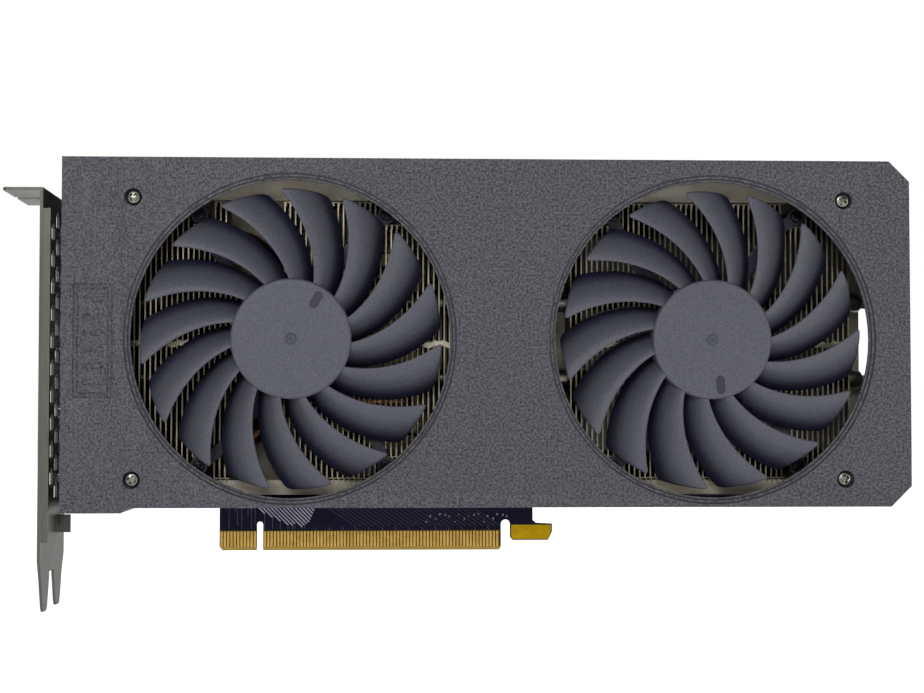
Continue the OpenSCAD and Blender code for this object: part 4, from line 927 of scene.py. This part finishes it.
def make_screws():
    """All screws, one piece for each size, each head turned by its own angle.

    A row holds the CAD node, the piece, its finish and slot, the head's radius and height, the shank's
    radius and length, whether the head is at the back, and the seed of the heads' turns.
    """
    kinds = [
        ("shroud_screws", "cover_screws", "nickel", "nickel_screw", 2.1, 1.6, 1.0, 15.4, False, 2),
        ("fan_screws", "fan_mount_screws", "black_screw", "black_screw", 1.7, 1.1, 0.95, 7.8, False, 4),
        ("backplate_screws", "back_cover_screws", "black_screw", "nickel_screw", 2.2, 0.9, 1.2, 6.8, True, 6),
        ("gpu_screws", "cooler_screws", "nickel", "nickel_screw", 2.4, 0.9, 1.2, 6.2, True, 8),
        ("bracket_screws", "bracket_fixing_screws", "nickel", "nickel_screw", 2.3, 1.3, 1.2, 3.2, True, 10),
    ]
    for node, name, finish, slot, head_r, head_height, shank_r, shank, from_back, seed in kinds:
        low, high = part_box(node)
        seat = high.y - head_height * MM if from_back else low.y + head_height * MM
        places = [Vector((x, seat, z)) for x, z in solid_centres(node)]
        shape = screw_shape(head_r * MM, head_height * MM, shank_r * MM, shank * MM)
        facing = math.pi if from_back else 0.0
        piece = scattered(name, places, shape, finish, facing, math.pi / 2, seed)
        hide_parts(node)


# ---------- cooler ----------

def fin_rows(node):
    """X, lowest Z and highest Z of every fin in a stack, and the sheet's thickness."""
    spans = {}
    for vert in frame["nodes"][node].data.vertices:
        key = round(vert.co.x / (0.01 * MM))
        low, high = spans.get(key, (1.0, -1.0))
        spans[key] = (min(low, vert.co.z), max(high, vert.co.z))
    keys = sorted(spans)
    fronts = keys[0::2]
    thickness = (keys[1] - keys[0]) * 0.01 * MM
    return [(key * 0.01 * MM, *spans[key]) for key in fronts], thickness


def make_fin_folds():
    """Folded lips at both ends of the fins, and the zigzag of locking tabs across their middle."""
    for side in SIDES:
        node = "fin_stack_" + side
        rows, sheet = fin_rows(node)
        low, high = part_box(node)
        pitch = rows[1][0] - rows[0][0]
        span = pitch - sheet - 0.04 * MM
        fold = 0.22 * MM
        lip = bmesh.new()
        cuboid(lip, (0, 0.4 * MM, -fold), (span, high.y - low.y - 0.3 * MM, 0))
        cuboid(lip, (0, 0, -1.3 * MM), (fold, 0.5 * MM, 0))
        tops = [Vector((x + sheet, low.y, top)) for x, bottom, top in rows[:-1]]
        feet = [Vector((x + sheet, low.y, bottom + fold)) for x, bottom, top in rows[:-1]]
        lips = scattered("fin_lips_" + side, tops + feet, lip, "fin")
        clip_low, clip_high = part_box("fin_clips_" + side)
        rise = 0.75 * MM
        half = (clip_high.z - clip_low.z) / 2 - rise
        zigzag = bmesh.new()
        outline = [(0, half), (0, -half), (pitch, -half - rise), (2 * pitch, -half), (2 * pitch, half),
                   (pitch, half - rise)]
        prism(zigzag, [(x, z * 0.85) for x, z in outline], 0, clip_high.y - clip_low.y)
        bmesh.ops.bevel(zigzag, geom=zigzag.edges[:], offset=0.07 * MM, segments=1, affect="EDGES")
        middle = (clip_low.z + clip_high.z) / 2
        tabs = grown("fin_tabs_" + side, ROW_TREE, bmesh.new(), zigzag, "fin_tab", {
            "Count": (len(rows) - 1) // 2, "Start": (rows[0][0] + sheet / 2, clip_low.y - 0.05 * MM, middle),
            "Step": (2 * pitch, 0.0, 0.0), "Stagger": (0.0, 0.0, 0.35 * MM)})
        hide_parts("fin_clips_" + side)


def tube(path, radii, sides):
    """Round tube through (x, z) points at Y 0, with a radius for each point and closed ends."""
    shape = bmesh.new()
    rings = []
    for i, (x, z) in enumerate(path):
        before = Vector(path[max(i - 1, 0)])
        after = Vector(path[min(i + 1, len(path) - 1)])
        along = (after - before).normalized()
        aside = Vector((-along.y, along.x))
        ring = []
        for k in range(sides):
            angle = 2 * math.pi * k / sides
            out = radii[i] * math.cos(angle)
            ring.append(shape.verts.new((x + aside.x * out, radii[i] * math.sin(angle), z + aside.y * out)))
        rings.append(ring)
    for first, second in zip(rings, rings[1:]):
        for k in range(sides):
            after = (k + 1) % sides
            shape.faces.new((first[k], first[after], second[after], second[k]))
    shape.faces.new(rings[0])
    shape.faces.new(rings[-1])
    bmesh.ops.recalc_face_normals(shape, faces=shape.faces)
    return shape


def swaged_radii(path, radius, swage, tip):
    """Radius at every point of a pipe that is drawn in at both ends."""
    travelled = [0.0]
    for first, second in zip(path, path[1:]):
        travelled.append(travelled[-1] + (Vector(second) - Vector(first)).length)
    radii = []
    for distance in travelled:
        from_end = min(distance, travelled[-1] - distance)
        share = min(1.0, from_end / swage)
        radii.append(tip + (radius - tip) * math.sqrt(max(0.0, 1 - (1 - share) ** 2)))
    return radii


def straight_run(x_low, x_high, z, swage):
    """Points of a straight pipe, closer together at its ends."""
    near = [x_low + swage * (k / 8) ** 1.5 for k in range(9)]
    middle = [x_low + swage + (x_high - x_low - 2 * swage) * k / 12 for k in range(1, 12)]
    far = [x_high - swage * (1 - k / 8) ** 1.5 for k in range(9)]
    return [(x, z) for x in near + middle + far]


def bent_run(node, upwards, radius, swage):
    """Points of a pipe that steps outwards between its inner and outer runs in two eighth turns."""
    low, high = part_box(node)
    inner = low.z + radius if upwards else high.z - radius
    outer = high.z - radius if upwards else low.z + radius
    sign = 1 if upwards else -1
    bend_r = 10 * MM
    bend_start = 12 * MM
    turn = 45
    steps = 12
    rise = abs(outer - inner)
    turn_run = bend_r * math.sin(math.radians(turn))
    turn_rise = bend_r * (1 - math.cos(math.radians(turn)))
    bend_end = bend_start - 2 * turn_run - (rise - 2 * turn_rise)
    points = [(x, inner) for x, z in straight_run(bend_start, high.x, 0, swage)[8:]]
    points = list(reversed(points))[:-1]
    for k in range(steps + 1):
        angle = math.radians(-90 - turn * k / steps)
        points.append((bend_start + bend_r * math.cos(angle),
                       inner + sign * (bend_r + bend_r * math.sin(angle))))
    for k in range(steps + 1):
        angle = math.radians(turn + turn * k / steps)
        points.append((bend_end + bend_r * math.cos(angle),
                       outer + sign * (bend_r * math.sin(angle) - bend_r)))
    tail = [(x, outer) for x, z in straight_run(low.x, bend_end, 0, swage)[:-8]]
    return points + list(reversed(tail))[1:]


def make_pipes():
    """Four heat pipes: two straight ones along the card and two that bend outwards over the processor."""
    swage = 2.5 * MM
    for node in ("heatpipe_upper", "heatpipe_lower", "heatpipe_bent_top", "heatpipe_bent_bottom"):
        low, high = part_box(node)
        radius = (high.y - low.y) / 2
        if "bent" in node:
            path = bent_run(node, node.endswith("top"), radius, swage)
            finish = "pipe"
        else:
            path = straight_run(low.x, high.x, (low.z + high.z) / 2, swage)
            finish = "plated_pipe"
        tip = radius * 0.4
        shape = tube(path, swaged_radii(path, radius, swage, tip), 32)
        bmesh.ops.translate(shape, verts=shape.verts, vec=(0, (low.y + high.y) / 2, 0))
        piece = new_piece(node.replace("heatpipe", "copper_pipe"), shape, finish)
        smooth_by_angle(piece, 50)
        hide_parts(node)


# ---------- fans ----------

BLADES = 15
BLADE_PITCH = 360 / BLADES
BLADE_THICKNESS = 1 * MM
BLADE_FRONT = 1.6 * MM
BLADE_BACK = 10.2 * MM
FIRST_BLADE = {"left": 21, "right": 3}
BLADE_GAP = 0.3
BLADE_SWEEP = 1.2
BLADE_TAPER = 0.19
ROOT_OVERLAP = 0.7 * MM
CORNER_BAND = 0.2
SIDE_BAND = 0.07
END_BAND = 0.035
DEEP_CORNER_R = 1.0 * MM
NEAR_CORNER_R = 1.4 * MM
HUB_MARK = {"left": (7.1 * MM, 11.0 * MM, 60), "right": (2.3 * MM, -13.0 * MM, 95)}


def rounded(share, band):
    """1 along the middle of a span, falling off to 0 in a half round over band at each end."""
    into_band = max(0.0, (abs(2 * share - 1) - 1 + band) / band)
    return math.sqrt(max(0.0, 1 - into_band * into_band))


def blade_point(s, t, side):
    """Point of a blade at share s of its width and t of its length; side is -1 in front, 1 behind."""
    root_r = hub_r - ROOT_OVERLAP
    corner_r = DEEP_CORNER_R if s < 0.5 else NEAR_CORNER_R
    bow = corner_r * (1 - rounded(s, CORNER_BAND))
    r = root_r + t * (tip_r - bow - root_r)
    width = BLADE_PITCH - BLADE_GAP - BLADE_TAPER * (r - hub_r) / MM
    travel = BLADE_BACK - BLADE_FRONT
    rise = BLADE_BACK - travel * math.sin(math.radians(90 * s))
    slope = -travel * (math.pi / 2) * math.cos(math.radians(90 * s)) / (math.radians(width) * r)
    fullness = rounded(s, SIDE_BAND) * rounded(t, END_BAND)
    shift = BLADE_THICKNESS * (1 + side * fullness) / 2 / math.sqrt(1 + slope * slope)
    angle = math.radians(BLADE_SWEEP * (r - hub_r) / MM + s * width) - shift * slope / r
    return Vector((r * math.cos(angle), face_y + rise + shift, r * math.sin(angle)))


def eased(steps):
    """Shares from 0 to 1, closer together at both ends."""
    return [(1 - math.cos(math.pi * k / steps)) / 2 for k in range(steps + 1)]


def blade_shape():
    """One blade with round edges, its front and back meeting at the rim."""
    across = eased(26)
    along = eased(30)
    shape = bmesh.new()
    for side in (-1, 1):
        grid = [[shape.verts.new(blade_point(s, t, side)) for s in across] for t in along]
        for lower, upper in zip(grid, grid[1:]):
            for k in range(len(across) - 1):
                shape.faces.new((lower[k], lower[k + 1], upper[k + 1], upper[k]))
    bmesh.ops.remove_doubles(shape, verts=shape.verts, dist=0.001 * MM)
    bmesh.ops.recalc_face_normals(shape, faces=shape.faces)
    return shape


def hub_shape():
    """Cup of the rotor about the Y axis, with a dimpled nub at the centre of its face."""
    face = face_y + 1 * MM
    top = face_y + 0.75 * MM
    inner = face + 1.6 * MM
    rim = face_y + 11.6 * MM
    edge = 0.8 * MM
    rim_break = 0.2 * MM
    inner_r = hub_r - hub_wall
    shaft_r = 1 * MM
    boss_r = shaft_r + 2.2 * MM
    bore_end = face_y + 1.9 * MM
    profile = [(0, top + 0.5 * MM), (0.3 * MM, top + 0.46 * MM), (0.5 * MM, top + 0.1 * MM)]
    profile += [(0.62 * MM, top), (0.95 * MM, top), (1.15 * MM, face + 0.1 * MM)]
    profile += [(1.4 * MM, face + 0.25 * MM), (1.6 * MM, face + 0.2 * MM), (1.8 * MM, face)]
    profile += [(hub_r * k / 8, face) for k in range(2, 8)]
    profile += arc((hub_r - edge, face + edge), edge, -90, 0, 8)
    profile += [(hub_r, face + 3 * MM), (hub_r, face + 6 * MM)]
    profile += [(hub_r, rim - rim_break), (hub_r - rim_break, rim)]
    profile += [(inner_r + rim_break, rim), (inner_r, rim - rim_break), (inner_r, inner)]
    profile += [(boss_r, inner), (boss_r, inner + 1.1 * MM), (shaft_r, inner + 1.1 * MM)]
    profile += [(shaft_r, bore_end), (0, bore_end)]
    return lathe(profile, 128)


def mark_shape(centre_x, centre_z, tilt, y):
    """Small raised capsule that marks the hub's light side."""
    radius = 1.3 * MM
    reach = 1.35 * MM
    turn = math.radians(tilt)
    outline = []
    for sign, start in ((1, -90), (-1, 90)):
        for k in range(17):
            angle = math.radians(start + 180 * k / 16)
            u = sign * reach + radius * math.cos(angle)
            v = radius * math.sin(angle)
            outline.append((centre_x + u * math.cos(turn) - v * math.sin(turn),
                            centre_z + u * math.sin(turn) + v * math.cos(turn)))
    return prism(bmesh.new(), outline, y - 0.06 * MM, y + 0.2 * MM)


def make_fans():
    """Both rotors: a hub with a ring of swept blades, and the mark on its face."""
    for side in SIDES:
        body = "fan_" + side
        rotor = grown("rotor_" + side, RING_TREE, hub_shape(), blade_shape(), "blade", {
            "Count": BLADES, "Phase": math.radians(FIRST_BLADE[side]),
            "Centre": (fan_x[side], 0.0, fan_z)}, body)
        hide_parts("fan_rotor_" + side)
        x, z, tilt = HUB_MARK[side]
        mark = new_piece("hub_mark_" + side, mark_shape(fan_x[side] + x, fan_z + z, tilt, face_y + 1 * MM),
                         "hub_mark", body)
        smooth_by_angle(mark)


# ---------- ports ----------

def make_port_contacts():
    """Contact springs along both faces of the tongues in the video ports."""
    inner = 0.46 * MM
    outer = 0.56 * MM
    half = 0.2 * MM
    length = 9 * MM
    setback = 0.3 * MM
    mouth_gap = 0.6 * MM
    pitch = 1.05 * MM
    for node, label, count in (("wide_video_tongues", "wide", 10), ("narrow_video_tongue", "narrow", 9)):
        low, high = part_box(node)
        mouth = low.x
        middle = (low.y + high.y) / 2
        contact = bmesh.new()
        cuboid(contact, (0, -outer, -half), (length, -inner, half))
        cuboid(contact, (setback, inner, -half), (length + setback, outer, half))
        places = []
        for _, z in solid_centres(node):
            for k in range(count):
                places.append(Vector((mouth + mouth_gap, middle, z + (k - (count - 1) / 2) * pitch)))
        piece = scattered(label + "_port_contacts", places, contact, "finger", seed=9)


# ---------- stage ----------

def plain_material(name, colour, glow, seen_glow):
    """Pale matte stage paint that glows, more so to the eye, and lets a view from below see through it."""
    material = bpy.data.materials.new(name)
    material.use_nodes = True
    tree = material.node_tree
    shader = tree.nodes["Principled BSDF"]
    shader.inputs["Base Color"].default_value = colour
    shader.inputs["Roughness"].default_value = 0.9
    shader.inputs["Emission Color"].default_value = colour
    seen = add_node(tree, "ShaderNodeLightPath").outputs["Is Camera Ray"]
    level = add_node(tree, "ShaderNodeMapRange", {
        "Value": seen, "To Min": glow, "To Max": seen_glow}).outputs[0]
    tree.links.new(level, shader.inputs["Emission Strength"])
    clear = add_node(tree, "ShaderNodeBsdfTransparent").outputs[0]
    behind = add_node(tree, "ShaderNodeNewGeometry").outputs["Backfacing"]
    both = add_node(tree, "ShaderNodeMixShader", {0: behind, 1: shader.outputs[0], 2: clear}).outputs[0]
    tree.links.new(both, tree.nodes["Material Output"].inputs["Surface"])
    return material


def make_stage():
    """A wide pale floor just under the bracket's foot."""
    half = 3.0
    gap = 0.05 * MM
    z = cad_low.z - gap
    mesh = bpy.data.meshes.new("floor")
    corners = [(-half, -half, z), (half, -half, z), (half, half, z), (-half, half, z)]
    mesh.from_pydata(corners, [], [(0, 1, 2, 3)])
    floor = bpy.data.objects.new("floor", mesh)
    bpy.context.scene.collection.objects.link(floor)
    mesh.materials.append(plain_material("stage_paint", (0.9, 0.9, 0.9, 1.0), 0.62, 0.95))


def area_light(name, place, target, width, height, power, colour):
    """A soft rectangular light that looks at a point."""
    light = bpy.data.lights.new(name, "AREA")
    light.shape = "RECTANGLE"
    light.size = width
    light.size_y = height
    light.energy = power
    light.color = colour
    holder = bpy.data.objects.new(name, light)
    bpy.context.scene.collection.objects.link(holder)
    holder.location = place
    holder.rotation_euler = (Vector(target) - Vector(place)).to_track_quat("-Z", "Y").to_euler()


def make_lights():
    """A pale room, a broad key from the upper left, and a low warm fill from the right."""
    world = bpy.data.worlds.new("studio")
    world.use_nodes = True
    tree = world.node_tree
    background = tree.nodes["Background"]
    background.inputs["Color"].default_value = (1.0, 1.0, 1.0, 1.0)
    seen = add_node(tree, "ShaderNodeLightPath").outputs["Is Camera Ray"]
    level = add_node(tree, "ShaderNodeMapRange", {"Value": seen, "To Min": 0.22, "To Max": 1.0}).outputs[0]
    tree.links.new(level, background.inputs["Strength"])
    bpy.context.scene.world = world
    centre = ((cad_low + cad_high) / 2)[:]
    area_light("key", (-0.35, -1.9, 0.75), centre, 0.8, 0.6, 11.0, (1.0, 0.99, 0.97))
    area_light("low_fill", (1.0, -1.1, 0.1), centre, 0.35, 0.25, 2.0, (1.0, 0.95, 0.84))
    area_light("back_light", (0.3, 1.6, 1.0), centre, 0.8, 0.6, 9.0, (1.0, 1.0, 1.0))


def make_camera():
    """The camera, square on to the card and a little below its middle."""
    data = bpy.data.cameras.new("camera")
    data.lens = 71.006
    data.sensor_width = 36
    camera = bpy.data.objects.new("camera", data)
    bpy.context.scene.collection.objects.link(camera)
    forward = Vector((0.04445567, 0.99821195, 0.0399574)).normalized()
    right = forward.cross(Vector((0, 0, 1))).normalized()
    up = right.cross(forward)
    turn = Matrix((right, up, -forward)).transposed().to_4x4()
    camera.matrix_world = Matrix.Translation((36.243 * MM, -552.242 * MM, 39.35 * MM)) @ turn
    bpy.context.scene.camera = camera


def main():
    soften_parts()
    keep_parts()
    make_board()
    make_traces()
    make_small_capacitors()
    make_capacitor_cans()
    make_screws()
    make_fin_folds()
    make_pipes()
    make_fans()
    make_port_contacts()
    make_stage()
    make_lights()
    make_camera()
    bpy.context.scene.view_settings.view_transform = "Standard"


main()
